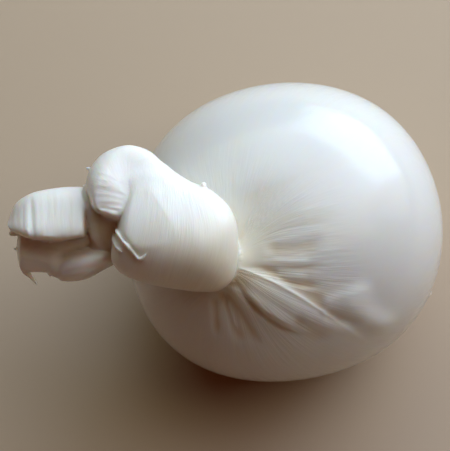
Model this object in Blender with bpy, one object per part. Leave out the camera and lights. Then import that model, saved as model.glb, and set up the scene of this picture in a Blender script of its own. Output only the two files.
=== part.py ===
"""Burrata: a ball of stretched-curd skin, gathered into a knotted neck with a torn tail, as one solid.

All sizes are in millimetres and become metres when a mesh is made. The ball stands on its flat spot at the
origin, +Z is up, and the neck is knotted on the -X shoulder, with the tail pointing to -X.
"""

import math

import bmesh
import bpy
import numpy as np

MM = 0.001

# The ball, from its centre, which is at the height of the girdle.
GIRDLE_HEIGHT = 33.5
HALF_LONG = 47.4
HALF_SHORT = 44.8
CROWN = 39.0
BELLY = 38.0
OVAL_TURN = math.radians(24.4)
FULLNESS = 2.08
SETTLE = 2.5
SHOULDERS = ((3, 0.36, 216.0), (4, 0.55, 43.0))

# The neck: where it leaves the ball, and the cone of skin drawn up into the knot.
NECK_TILT = math.radians(39.8)
NECK_BEARING = math.radians(-123.4)
NECK_RISE = 8.0
NECK_FLARE = 4.2
NECK_LEAN = (-9.0, 5.0, -1.0)

# Pleats of the skin on a flat map round the neck: distance and bearing of both ends, sideways bow, height, and width
# to the left and to the right of the line.
SKIN_RADIUS = 43.0
PLEATS = (
    (3.1, -4, 41.6, -35, 2.9, 0.77, 1.8, 3.8),
    (5.9, -42, 28.5, -38, 0.5, 0.32, 2.0, 2.8),
    (4.3, -101, 26.1, -46, 0.1, 0.70, 1.9, 2.0),
    (22.2, -41, 32.7, -39, -0.1, -0.24, 1.9, 1.8),
    (7.6, -5, 23.4, -14, -0.0, -0.26, 1.1, 1.0),
    (4.0, -90, 13.6, -65, 0.5, -0.61, 1.6, 1.5),
    (6.7, -102, 22.4, -75, 0.1, -0.73, 1.7, 2.3),
    (11.0, -122, 20.3, -105, 0.1, -0.55, 1.6, 1.4),
    (7.8, -115, 20.9, -88, -0.1, -0.52, 1.6, 2.1),
    (21.7, -45, 33.6, -43, -0.4, -0.33, 1.9, 2.5),
    (28.6, -29, 38.1, -31, -0.5, -0.72, 2.2, 2.2),
    (27.2, -24, 38.9, -12, 0.0, 0.71, 3.1, 3.8),
    (33.5, -21, 49.9, -28, -0.5, 0.55, 3.8, 3.6),
    (4.7, -5, 23.8, 0, -0.7, -0.31, 1.2, 1.8),
    (12.0, -12, 22.1, -16, -0.6, -0.35, 1.1, 0.7),
    (10.3, 12, 19.8, 4, 0.0, 0.19, 1.1, 1.7),
    (12.0, -10, 18.9, -11, -0.1, 0.34, 1.3, 1.3),
    (10.9, 29, 24.2, 18, -0.5, -0.26, 2.1, 3.0),
    (14.9, 71, 33.8, 39, -0.2, -0.14, 2.5, 2.7),
    (11.7, 59, 30.2, 29, -0.3, -0.20, 3.0, 3.3),
    (19.3, 90, 38.3, 53, -0.1, -0.23, 2.4, 2.5),
    (16.8, 83, 37.6, 46, 0.0, -0.15, 2.2, 2.9),
    (9.7, -114, 19.4, -97, 0.3, 0.19, 0.6, 0.6),
    (10.0, -100, 18.5, -89, -0.2, 0.20, 0.6, 0.6),
    (76.0, -23, 80.0, -22, 0.0, 0.90, 1.6, 1.6),
)
PLEAT_ENDS = (0.15, 0.3, 0.25, 0.5)
CREST = 1.5
FLUTES = ((9, 0.12, 20.0), (14, 0.12, 140.0), (23, 0.08, 70.0))
FLUTE_START = 4.0
FLUTE_REACH = 18.0
FLUTE_CALM = math.radians(-15.0)

# The knot lies in a plane that leans back by this from the level: right, up the slope, and out of it.
KNOT_LEAN = math.radians(22.0)

# The knot's two masses: the band that crosses over, and the lobe that comes out from under it at the pinch. Each has its
# rim (right, upslope, out, width of the rounded edge), the place that its surface is measured from, then for its front
# and its back the depth without swells, the swells (right, upslope, their reach along both, height), the share that
# widens the rounding, and how square it is, and the creases of its front.
BAND_RIM = (
    (-34.5, 19.2, 41.3, 10.0),
    (-31.0, 16.3, 41.5, 10.5),
    (-26.6, 13.6, 42.0, 11.0),
    (-22.6, 12.1, 42.5, 11.0),
    (-18.8, 9.3, 43.0, 11.0),
    (-16.4, 6.6, 43.5, 11.0),
    (-14.7, 2.6, 43.5, 10.5),
    (-14.2, -2.0, 43.5, 10.5),
    (-14.2, -6.3, 43.2, 10.5),
    (-14.9, -10.6, 43.0, 10.5),
    (-16.4, -13.5, 42.5, 10.5),
    (-19.6, -15.6, 42.0, 10.5),
    (-24.8, -15.9, 41.5, 10.5),
    (-31.0, -15.2, 41.0, 10.5),
    (-37.5, -14.1, 41.0, 10.5),
    (-41.8, -12.9, 40.5, 10.5),
    (-45.9, -10.9, 40.3, 11.0),
    (-48.2, -7.9, 40.0, 9.0),
    (-48.4, -4.2, 39.5, 6.0),
    (-47.1, 0.7, 39.5, 3.8),
    (-46.3, 4.0, 39.5, 3.0),
    (-45.4, 7.6, 40.0, 3.0),
    (-44.5, 11.2, 42.5, 3.5),
    (-43.4, 15.0, 45.3, 5.0),
    (-41.4, 18.4, 44.8, 7.0),
    (-38.2, 20.2, 42.8, 9.0),
)
BAND = {
    "rim": BAND_RIM,
    "middle": (-31.0, 2.0),
    "front": (43.0, ((-31.0, -4.5, 34.0, 20.0, 11.0),), 1.25, 2.3),
    "back": (33.0, ((-28.0, -1.0, 13.0, 13.0, -5.5),), 1.5, 2.1),
}
LOBE_RIM = (
    (-37.7, 21.9, 41.0, 9.0),
    (-42.3, 23.6, 41.0, 9.0),
    (-46.9, 23.1, 40.8, 9.0),
    (-51.3, 20.9, 40.3, 9.0),
    (-54.4, 17.1, 40.0, 9.0),
    (-55.4, 12.6, 39.6, 8.0),
    (-54.4, 7.9, 39.3, 7.0),
    (-52.2, 4.6, 39.0, 5.0),
    (-49.2, 3.3, 39.0, 4.0),
    (-45.6, 2.9, 39.0, 4.0),
    (-41.4, 4.8, 39.0, 5.0),
    (-37.2, 9.6, 39.0, 7.0),
    (-35.0, 14.8, 39.5, 8.0),
    (-35.0, 18.8, 40.5, 9.0),
)
LOBE = {
    "rim": LOBE_RIM,
    "middle": (-46.0, 13.5),
    "front": (42.7, ((-31.0, -4.5, 34.0, 20.0, 11.0), (-50.5, 13.5, 8.0, 8.0, 1.8)), 1.15, 2.2),
    "back": (33.0, ((-47.0, 13.0, 9.0, 10.0, -4.5),), 1.5, 2.1),
}
RIM_BLEND = 1.5
RIM_SOFTNESS = 1.5

# Where the band's torn edge lies over the skin below, and how the lobe dips under the band: right and upslope of both
# ends, sideways bow, height, and width to the left and to the right.
BAND_STEPS = ((-46.8, 1.4, -40.2, -7.0, 0.0, -1.1, 0.45, 4.5),)
LOBE_DIPS = ((-42.0, 18.5, -46.8, 2.5, 0.8, -1.1, 9.0, 3.4),)

# The torn lips on the band: right, upslope, height over its front, and half thickness.
TORN_LIP = (
    (-46.9, 1.4, 0.5, 0.4),
    (-45.9, -0.4, 0.7, 0.9),
    (-44.4, -2.4, 0.5, 0.8),
    (-42.3, -4.6, 0.5, 0.85),
    (-40.5, -6.7, 0.4, 0.9),
    (-39.5, -6.6, 0.2, 0.7),
    (-38.5, -5.6, 0.0, 0.3),
)
SMALL_LIP = (
    (-47.4, -2.2, 0.7, 0.3),
    (-46.6, -3.4, 0.9, 0.6),
    (-45.4, -4.4, 0.8, 0.5),
    (-44.8, -4.9, 0.6, 0.2),
)
LIP_THINNESS = 0.42

# Folds of skin of the tail, each a table of the loops that it is drawn through: upper end and lower end (right,
# upslope), depth of the middle, swell to the front and to the back, and squareness.
TAIL_CORE = (
    (-47.0, 2.9, -47.0, -8.1, 34.0, 2.5, 4.0, 2.0),
    (-51.8, 7.3, -51.8, -10.7, 33.0, 3.6, 5.0, 2.0),
    (-57.4, 10.1, -57.4, -13.2, 33.0, 3.2, 4.0, 2.2),
    (-63.8, 10.7, -63.8, -12.6, 33.0, 3.0, 4.0, 2.4),
    (-67.1, 10.4, -67.1, -11.1, 33.0, 2.8, 3.6, 2.4),
    (-72.8, 7.9, -73.4, -10.7, 32.0, 2.4, 3.0, 2.4),
    (-74.2, 5.1, -74.8, -8.2, 32.0, 2.0, 2.5, 2.2),
    (-74.8, 1.8, -75.2, -4.9, 32.0, 1.2, 1.6, 2.0),
)
TAIL_SHEET = (
    (-55.6, 11.2, -55.9, -1.0, 35.5, 5.0, 3.0, 3.0),
    (-56.7, 12.4, -56.8, -1.8, 36.0, 7.0, 4.0, 3.0),
    (-62.8, 12.4, -62.8, -2.4, 36.0, 7.2, 4.5, 3.0),
    (-70.1, 11.1, -69.5, -1.6, 35.5, 6.8, 4.5, 3.0),
    (-74.4, 9.0, -73.9, -1.2, 35.0, 5.8, 4.5, 2.8),
    (-76.2, 7.0, -75.8, -0.9, 34.5, 4.6, 3.6, 2.5),
    (-77.1, 4.6, -76.9, 1.0, 34.0, 2.5, 2.0, 2.0),
)
TAIL_ROLL = (
    (-64.4, -9.3, -64.1, -12.1, 33.0, 1.5, 1.5, 2.0),
    (-62.5, -6.4, -62.2, -13.5, 33.0, 4.2, 3.0, 2.0),
    (-56.4, -4.6, -56.1, -12.9, 33.5, 5.6, 4.0, 2.0),
    (-50.2, -3.6, -49.9, -9.6, 34.0, 4.4, 3.5, 2.0),
    (-47.9, -4.6, -47.9, -8.4, 34.0, 2.0, 2.0, 2.0),
)

# How much nearer to the eye the sheet's lower edge lies than its upper one.
SHEET_LEAN = 4.0

# Creases of the tail's folds, as those of the knot.
SHEET_CREASES = (
    (-69.4, 8.6, -70.2, -1.6, 0.2, 0.34, 0.8, 0.7),
    (-68.3, 7.4, -68.0, -1.8, 0.15, -0.48, 0.8, 0.9),
)
CORE_CREASES = (
    (-63.7, -7.2, -51.1, -2.6, 0.3, -1.4, 0.9, 0.9),
)

# Strands and shreds along a line: right, upslope, out and half thickness of each point.
UNDER_STRAND = (
    (-17.0, -5.0, 33.0, 6.0),
    (-21.5, 1.5, 35.0, 6.5),
    (-31.0, 8.0, 32.0, 6.5),
    (-41.0, 13.5, 30.0, 6.5),
    (-48.0, 13.0, 32.0, 5.5),
)
KNOT_CORE = (
    (-43.0, 9.0, 38.0, 5.0),
    (-44.5, 3.0, 35.5, 6.0),
    (-52.0, 0.5, 32.5, 5.5),
    (-57.0, 0.0, 32.5, 4.0),
)
LOBE_STRIP = (
    (-53.6, 13.0, 36.5, 2.4),
    (-53.6, 8.0, 37.0, 1.7),
    (-52.6, 3.0, 36.6, 1.4),
    (-50.6, -1.6, 35.6, 1.5),
    (-47.0, -5.6, 34.5, 1.8),
    (-44.0, -7.5, 34.0, 1.6),
)
SHREDS = (
    ((-73.6, -9.3, 32.0, 1.2), (-72.7, -11.0, 31.5, 0.9), (-71.6, -12.1, 31.0, 0.6), (-70.0, -14.3, 30.5, 0.25)),
    ((-74.4, -1.0, 32.5, 1.0), (-75.6, -1.6, 32.1, 0.7), (-76.4, -1.8, 31.9, 0.3)),
    ((-74.0, -4.0, 32.5, 1.1), (-75.4, -4.6, 32.1, 0.5), (-75.9, -4.2, 31.9, 0.25)),
    ((-66.8, -10.0, 32.5, 1.0), (-66.0, -11.5, 32.1, 0.6), (-65.6, -12.1, 31.9, 0.3)),
    ((-24.0, 10.2, 43.6, 1.7), (-23.7, 12.2, 43.6, 1.3), (-23.2, 13.4, 43.4, 0.5)),
    ((-53.0, 16.6, 40.2, 1.0), (-54.4, 17.2, 40.1, 0.6), (-55.3, 17.4, 40.0, 0.25)),
)


def unit(vector):
    vector = np.asarray(vector, float)
    return vector / np.linalg.norm(vector)


def smooth_step(value):
    value = np.clip(value, 0.0, 1.0)
    return value * value * (3.0 - 2.0 * value)


def knot_axes():
    right = np.array([1.0, 0.0, 0.0])
    upslope = np.array([0.0, math.cos(KNOT_LEAN), math.sin(KNOT_LEAN)])
    return right, upslope, np.cross(right, upslope)


def from_knot_frame(points):
    """Points given as right, upslope and out from the ball's centre, in the part's frame."""
    right, upslope, out = knot_axes()
    centre = np.array([0.0, 0.0, GIRDLE_HEIGHT])
    return centre + points[..., :1] * right + points[..., 1:2] * upslope + points[..., 2:] * out


def neck_axes():
    """The neck's direction, and two directions across it that the bearings of pleats are measured from."""
    flat = math.sin(NECK_TILT)
    neck = np.array([flat * math.cos(NECK_BEARING), flat * math.sin(NECK_BEARING), math.cos(NECK_TILT)])
    east = unit(np.array([1.0, 0.0, 0.0]) - neck[0] * neck)
    return neck, east, np.cross(neck, east)


def crease_relief(x, y, creases):
    """Height of creases and ridges at a place of a flat map, each from one end over its bow to the other."""
    relief = np.zeros_like(x)
    before, rise, after, fall = PLEAT_ENDS
    for x_a, y_a, x_b, y_b, bow, height, left_width, right_width in creases:
        length = math.hypot(x_b - x_a, y_b - y_a)
        along_x, along_y = (x_b - x_a) / length, (y_b - y_a) / length
        along = ((x - x_a) * along_x + (y - y_a) * along_y) / length
        across = (y - y_a) * along_x - (x - x_a) * along_y - bow * 4.0 * along * (1.0 - along)
        ends = smooth_step((along + before) / rise) * smooth_step((1.0 - along + after) / fall)
        aside = np.abs(across) / np.where(across > 0.0, left_width, right_width)
        relief += height * ends * np.exp(-(aside ** (CREST if height > 0.0 else 2.0)))
    return relief


def pleats_on_map():
    """The pleats with their ends as places of the flat map."""
    for near, near_bearing, far, far_bearing, *rest in PLEATS:
        a, b = math.radians(near_bearing), math.radians(far_bearing)
        yield near * math.cos(a), near * math.sin(a), far * math.cos(b), far * math.sin(b), *rest


def ball_radius(direction):
    """Distance from the centre to the smooth ball in each direction."""
    x, y, z = direction[..., 0], direction[..., 1], direction[..., 2]
    across = x * math.cos(OVAL_TURN) + y * math.sin(OVAL_TURN)
    along = y * math.cos(OVAL_TURN) - x * math.sin(OVAL_TURN)
    rise = z / np.where(z > 0.0, CROWN, BELLY)
    spread = np.abs(across / HALF_LONG) ** FULLNESS + np.abs(along / HALF_SHORT) ** FULLNESS
    radius = (spread + np.abs(rise) ** FULLNESS) ** (-1.0 / FULLNESS)
    right, upslope, out = knot_axes()
    angle = np.arctan2(direction @ upslope, direction @ right)
    rim = np.sqrt(np.clip(1.0 - (direction @ out) ** 2, 0.0, 1.0))
    for order, swell, phase in SHOULDERS:
        radius = radius + swell * rim**order * np.cos(order * (angle - math.radians(phase)))
    return radius


def settled(height):
    """Height above the table of skin that would be at this height if the ball didn't rest on it."""
    blend = (np.clip(height, -SETTLE, SETTLE) + SETTLE) ** 2 / (4.0 * SETTLE)
    return np.where(height > SETTLE, height, blend)


def ball_skin(polar, bearing):
    """Points of the ball's skin at an angle from the neck and a bearing round it."""
    neck, east, north = neck_axes()
    polar, bearing = polar[..., None], bearing[..., None]
    direction = np.cos(polar) * neck + np.sin(polar) * (np.cos(bearing) * east + np.sin(bearing) * north)
    polar, bearing = polar[..., 0], bearing[..., 0]
    map_x, map_y = SKIN_RADIUS * polar * np.cos(bearing), SKIN_RADIUS * polar * np.sin(bearing)
    reach = SKIN_RADIUS * np.sin(np.minimum(polar, math.pi / 2.0))
    radius = ball_radius(direction) + crease_relief(map_x, map_y, pleats_on_map())
    for count, depth, phase in FLUTES:
        fade = np.exp(-((SKIN_RADIUS * polar / FLUTE_REACH) ** 2)) * smooth_step(SKIN_RADIUS * polar / FLUTE_START - 1.0)
        fade = fade * smooth_step(0.45 - 0.75 * np.cos(bearing - FLUTE_CALM))
        radius = radius + depth * fade * np.cos(count * bearing + math.radians(phase))
    points = direction * radius[..., None]
    drawn = np.exp(-reach / NECK_FLARE)[..., None]
    right, upslope, out = knot_axes()
    lean = NECK_LEAN[0] * right + NECK_LEAN[1] * upslope + NECK_LEAN[2] * out
    points = points + drawn * NECK_RISE * neck + drawn**2 * lean
    points[..., 2] = settled(points[..., 2] + GIRDLE_HEIGHT)
    return points


def resampled(rows, places):
    """Rows of a table read at fractional places between them, on a smooth curve through them."""
    rows = np.asarray(rows, float)
    low = np.clip(np.floor(places).astype(int), 0, len(rows) - 2)
    t = (places - low)[:, None]
    before, after = rows[np.maximum(low - 1, 0)], rows[np.minimum(low + 2, len(rows) - 1)]
    here, there = rows[low], rows[low + 1]
    leave, arrive = (there - before) / 2.0, (after - here) / 2.0
    return (
        (2 * t**3 - 3 * t**2 + 1) * here
        + (t**3 - 2 * t**2 + t) * leave
        + (3 * t**2 - 2 * t**3) * there
        + (t**3 - t**2) * arrive
    )


def rim_points(rows, middle):
    """Closely spaced places on a rim: right and upslope of the middle, depth, and width of the rounding."""
    closed = rows[-2:] + rows + rows[:3]
    rim = resampled(closed, np.linspace(2.0, len(rows) + 2.0, 1200, endpoint=False))
    return rim - np.array([*middle, 0.0, 0.0])


def rim_reach(rim, angle):
    """Distance of the rim from the middle in a direction of the knot's plane."""
    turns = np.arctan2(rim[:, 1], rim[:, 0])
    return np.interp(angle, turns, np.hypot(rim[:, 0], rim[:, 1]), period=2.0 * math.pi)


def mass_surface(mass, right, upslope, front):
    """Depth of the front or back of one of the knot's masses at a place within its rim."""
    edge = rim_points(mass["rim"], mass["middle"])
    x, y = right - mass["middle"][0], upslope - mass["middle"][1]
    gaps = np.hypot(x[..., None] - edge[:, 0], y[..., None] - edge[:, 1])
    shares = np.exp((gaps.min(axis=-1, keepdims=True) - gaps) / RIM_BLEND)
    rim, rounding = np.moveaxis(shares @ edge[:, 2:] / shares.sum(axis=-1)[..., None], -1, 0)
    # A smooth distance to the rim, without the crests that the distance to its nearest place has in the middle.
    to_rim = np.mean((np.maximum(gaps, 1e-6) / RIM_SOFTNESS) ** -6.0, axis=-1) ** (-1.0 / 6.0)
    inside = rim_reach(edge, np.arctan2(y, x)) - np.hypot(x, y)
    to_rim = np.minimum(to_rim, 3.0 * np.maximum(inside, 0.0))
    depth, swells, wider, squareness = mass["front" if front else "back"]
    rounded = np.sqrt(1.0 - (1.0 - np.clip(to_rim / (rounding * wider), 0.0, 1.0)) ** squareness)
    if front:
        depth = depth + crease_relief(right, upslope, BAND_STEPS if mass is BAND else LOBE_DIPS)
    for swell_x, swell_y, reach_x, reach_y, height in swells:
        depth = depth + height * np.exp(-(((right - swell_x) / reach_x) ** 2) - ((upslope - swell_y) / reach_y) ** 2)
    return rim + (depth - rim) * rounded


def mass_solid(name, mass, columns, front_rows, back_rows):
    angle = np.linspace(-math.pi, math.pi, columns, endpoint=False)
    reach = rim_reach(rim_points(mass["rim"], mass["middle"]), angle)
    rings = []
    for rows, front in ((front_rows, True), (back_rows, False)):
        shares = np.sin(np.linspace(0.0, math.pi / 2.0, rows + 1))[1:]
        for share in shares if front else shares[-2::-1]:
            right = mass["middle"][0] + share * reach * np.cos(angle)
            upslope = mass["middle"][1] + share * reach * np.sin(angle)
            rings.append(np.stack([right, upslope, mass_surface(mass, right, upslope, front)], axis=-1))
    middle = np.array([mass["middle"]])
    tops = [np.append(middle[0], mass_surface(mass, middle[:, 0], middle[:, 1], front)) for front in (True, False)]
    return solid_from_rings(name, from_knot_frame(np.array(rings)), *from_knot_frame(np.array(tops)))


def fold_points(rows, creases, lean, places, turns):
    """Points of a fold at places between its loops and turns round them, from the upper end over the front."""
    places, turns = np.broadcast_arrays(places, turns)
    table = resampled(rows, places.ravel()).reshape(*places.shape, -1)
    power = 2.0 / table[..., 7]
    reach = (np.sign(np.cos(turns)) * np.abs(np.cos(turns)) ** power)[..., None]
    swell = np.sign(np.sin(turns)) * np.abs(np.sin(turns)) ** power
    flat = (table[..., 0:2] + table[..., 2:4]) / 2.0 + (table[..., 0:2] - table[..., 2:4]) / 2.0 * reach
    depth = table[..., 4] + np.where(swell > 0.0, table[..., 5], table[..., 6]) * swell - lean / 2.0 * reach[..., 0]
    depth = depth + crease_relief(flat[..., 0], flat[..., 1], creases) * np.sqrt(np.clip(swell, 0.0, 1.0))
    return from_knot_frame(np.concatenate([flat, depth[..., None]], axis=-1))


def rings_along(line, thickness, sides, thinness):
    """Loops along a line of points, round or thinned across it to a blade."""
    ahead = np.gradient(line, axis=0)
    ahead /= np.linalg.norm(ahead, axis=1)[:, None]
    side = np.cross(ahead, knot_axes()[2])
    side /= np.linalg.norm(side, axis=1)[:, None]
    over = np.cross(side, ahead)
    turn = np.linspace(0.0, 2.0 * math.pi, sides, endpoint=False)[None, :, None]
    spoke = thinness * np.cos(turn) * side[:, None] + np.sin(turn) * over[:, None]
    return line[:, None] + spoke * thickness[:, None, None]


def solid_from_rings(name, rings, first, last):
    """A closed mesh through rings of points, drawn together to one point at each end."""
    mesh = bpy.data.meshes.new(name)
    shell = bmesh.new()
    ends = [shell.verts.new(first * MM), shell.verts.new(last * MM)]
    loops = [[shell.verts.new(point * MM) for point in ring] for ring in rings]
    count = len(loops[0])
    for here, there in zip(loops, loops[1:]):
        for i in range(count):
            shell.faces.new((here[i], here[(i + 1) % count], there[(i + 1) % count], there[i]))
    for i in range(count):
        shell.faces.new((ends[0], loops[0][(i + 1) % count], loops[0][i]))
        shell.faces.new((ends[1], loops[-1][i], loops[-1][(i + 1) % count]))
    bmesh.ops.recalc_face_normals(shell, faces=shell.faces)
    bmesh.ops.triangulate(shell, faces=shell.faces)
    shell.to_mesh(mesh)
    shell.free()
    solid = bpy.data.objects.new(name, mesh)
    return solid


def spread(start, end, count, focus, width, crowding):
    """Values from start to end that lie closer together round the focus."""
    fine = np.linspace(start, end, 2000)
    share = np.cumsum(1.0 + crowding * np.exp(-(((fine - focus) / width) ** 2)))
    share = (share - share[0]) / (share[-1] - share[0])
    return np.interp(np.linspace(0.0, 1.0, count), share, fine)


def ball_solid(rows, columns):
    polar = spread(0.0, 180.0, rows + 2, 12.0, 26.0, 3.0)[1:-1]
    bearing = spread(-180.0, 180.0, columns + 1, -38.0, 50.0, 1.2)[:-1]
    rings = ball_skin(*np.meshgrid(np.radians(polar), np.radians(bearing), indexing="ij"))
    poles = ball_skin(np.array([0.0, math.pi]), np.zeros(2))
    return solid_from_rings("ball", rings, poles[0], poles[1])


def fold_solid(name, rows, creases, lean, loops, sides):
    places = np.linspace(0.0, len(rows) - 1.0, loops)[:, None]
    turns = np.linspace(0.0, 2.0 * math.pi, sides, endpoint=False)[None, :]
    rings = fold_points(rows, creases, lean, places, turns)
    return solid_from_rings(name, rings, rings[0].mean(axis=0), rings[-1].mean(axis=0))


def strand_solid(name, points, steps, sides, thinness=1.0):
    """A strand along a smooth line through points of the knot's frame."""
    table = resampled(points, np.linspace(0.0, len(points) - 1.0, steps))
    rings = rings_along(from_knot_frame(table[:, :3]), table[:, 3], sides, thinness)
    return solid_from_rings(name, rings, rings[0].mean(axis=0), rings[-1].mean(axis=0))


def on_band(rows):
    """A strand whose heights are measured from the band's front."""
    right, upslope, height, thickness = np.array(rows).T
    return np.stack([right, upslope, mass_surface(BAND, right, upslope, True) + height, thickness], axis=-1)


def joined(name, solids):
    """One solid from those that overlap, without loose scraps or sealed hollows."""
    scene = bpy.context.scene.collection
    first, *others = solids
    scene.objects.link(first)
    group = bpy.data.collections.new("joined")
    scene.children.link(group)
    for other in others:
        group.objects.link(other)
    union = first.modifiers.new("union", "BOOLEAN")
    union.operation = "UNION"
    union.operand_type = "COLLECTION"
    union.collection = group
    union.solver = "MANIFOLD"
    graph = bpy.context.evaluated_depsgraph_get()
    mesh = bpy.data.meshes.new_from_object(first.evaluated_get(graph))
    for solid in solids:
        bpy.data.objects.remove(solid, do_unlink=True)
    bpy.data.collections.remove(group)
    keep_largest_shell(mesh)
    mesh.name = name
    result = bpy.data.objects.new(name, mesh)
    scene.objects.link(result)
    return result


def keep_largest_shell(mesh):
    shell = bmesh.new()
    shell.from_mesh(mesh)
    bmesh.ops.triangulate(shell, faces=shell.faces)
    bmesh.ops.dissolve_degenerate(shell, dist=0.02 * MM, edges=shell.edges)
    bmesh.ops.triangulate(shell, faces=shell.faces)
    waiting = set(shell.verts)
    shells = []
    while waiting:
        edge_of_search = [waiting.pop()]
        found = set(edge_of_search)
        while edge_of_search:
            for edge in edge_of_search.pop().link_edges:
                for vert in edge.verts:
                    if vert not in found:
                        found.add(vert)
                        edge_of_search.append(vert)
        waiting -= found
        shells.append(found)
    shells.sort(key=len)
    bmesh.ops.delete(shell, geom=[vert for small in shells[:-1] for vert in small], context="VERTS")
    shell.to_mesh(mesh)
    shell.free()


def main():
    for old in list(bpy.data.objects):
        bpy.data.objects.remove(old, do_unlink=True)
    solids = [
        ball_solid(32, 100),
        mass_solid("band", BAND, 62, 11, 6),
        mass_solid("lobe", LOBE, 40, 9, 4),
        fold_solid("tail_core", TAIL_CORE, CORE_CREASES, 0.0, 15, 16),
        fold_solid("tail_sheet", TAIL_SHEET, SHEET_CREASES, SHEET_LEAN, 26, 18),
        fold_solid("tail_roll", TAIL_ROLL, (), 0.0, 11, 14),
        strand_solid("under_strand", UNDER_STRAND, 10, 12),
        strand_solid("knot_core", KNOT_CORE, 8, 12),
        strand_solid("lobe_strip", LOBE_STRIP, 9, 8),
        strand_solid("torn_lip", on_band(TORN_LIP), 12, 6, LIP_THINNESS),
        strand_solid("small_lip", on_band(SMALL_LIP), 6, 6, LIP_THINNESS),
    ]
    solids += [strand_solid(f"shred_{i}", shred, 6, 6) for i, shred in enumerate(SHREDS)]
    joined("burrata", solids)


main()
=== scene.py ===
"""Burrata: the looks of a ball of stretched-curd skin, drawn up into a knotted neck with a torn tail.

Lengths in the tables are millimetres from the ball's centre, along three directions: to the right, up the
slope that the knot lies on, and out of that slope. Meshes are in metres, with +Z up and the ball's flat spot
at the origin.
"""

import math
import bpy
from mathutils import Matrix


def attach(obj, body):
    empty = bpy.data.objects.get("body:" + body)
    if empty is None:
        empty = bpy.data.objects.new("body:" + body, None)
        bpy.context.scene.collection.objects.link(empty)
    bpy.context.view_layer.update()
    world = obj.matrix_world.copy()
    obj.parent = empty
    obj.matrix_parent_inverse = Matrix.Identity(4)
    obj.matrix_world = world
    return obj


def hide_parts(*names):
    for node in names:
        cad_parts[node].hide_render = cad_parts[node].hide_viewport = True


bl_info = {
    "name": "Burrata",
    "version": (1, 0, 0),
    "blender": (4, 5, 0),
    "location": "View3D > Sidebar > Burrata",
    "description": "Builds the wet curd skin and the studio round the burrata's solid",
    "category": "Object",
}

import bmesh
import bpy
import numpy as np
from mathutils import Matrix, Vector
from mathutils.bvhtree import BVHTree
from mathutils.kdtree import KDTree

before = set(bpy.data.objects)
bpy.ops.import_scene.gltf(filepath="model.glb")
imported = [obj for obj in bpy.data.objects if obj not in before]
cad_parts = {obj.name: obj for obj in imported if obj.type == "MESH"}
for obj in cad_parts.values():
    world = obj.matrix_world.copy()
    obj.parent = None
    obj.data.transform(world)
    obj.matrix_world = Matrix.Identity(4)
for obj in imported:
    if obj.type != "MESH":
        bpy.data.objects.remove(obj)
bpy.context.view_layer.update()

MM = 0.001

# The ball, measured from its centre, which is at the height of the girdle. Seen from above it is an oval
# that is turned on the table. A fullness of 2 would be an ellipsoid. Near the table the skin is pressed
# up into a flat spot, over this height. The shoulders swell the ball round the knot's plane: how many,
# height, and direction.
GIRDLE_HEIGHT = 33.5
CENTRE = np.array([0.0, 0.0, GIRDLE_HEIGHT])
HALF_LONG = 47.4
HALF_SHORT = 44.8
CROWN = 39.0
BELLY = 38.0
OVAL_TURN = math.radians(24.4)
FULLNESS = 2.08
SETTLE = 2.5
SHOULDERS = ((3, 0.36, 216.0), (4, 0.55, 43.0))

# Where the rows of the ball's mesh, from the neck down, and its columns lie closer: middle, width and
# crowding. The samples are for the way from one end to the other. Each fold has at least so many loops.
ROW_FOCUS = (12.0, 30.0, 2.4)
COLUMN_FOCUS = (-38.0, 50.0, 1.2)
SPREAD_SAMPLES = 2000
FEWEST_LOOPS = 6

# The neck: where it leaves the ball, and the cone of skin drawn up into the knot.
NECK_TILT = math.radians(39.8)
NECK_BEARING = math.radians(-123.4)
NECK_RISE = 8.0
NECK_FLARE = 4.2
NECK_LEAN = (-9.0, 5.0, -1.0)

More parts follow.
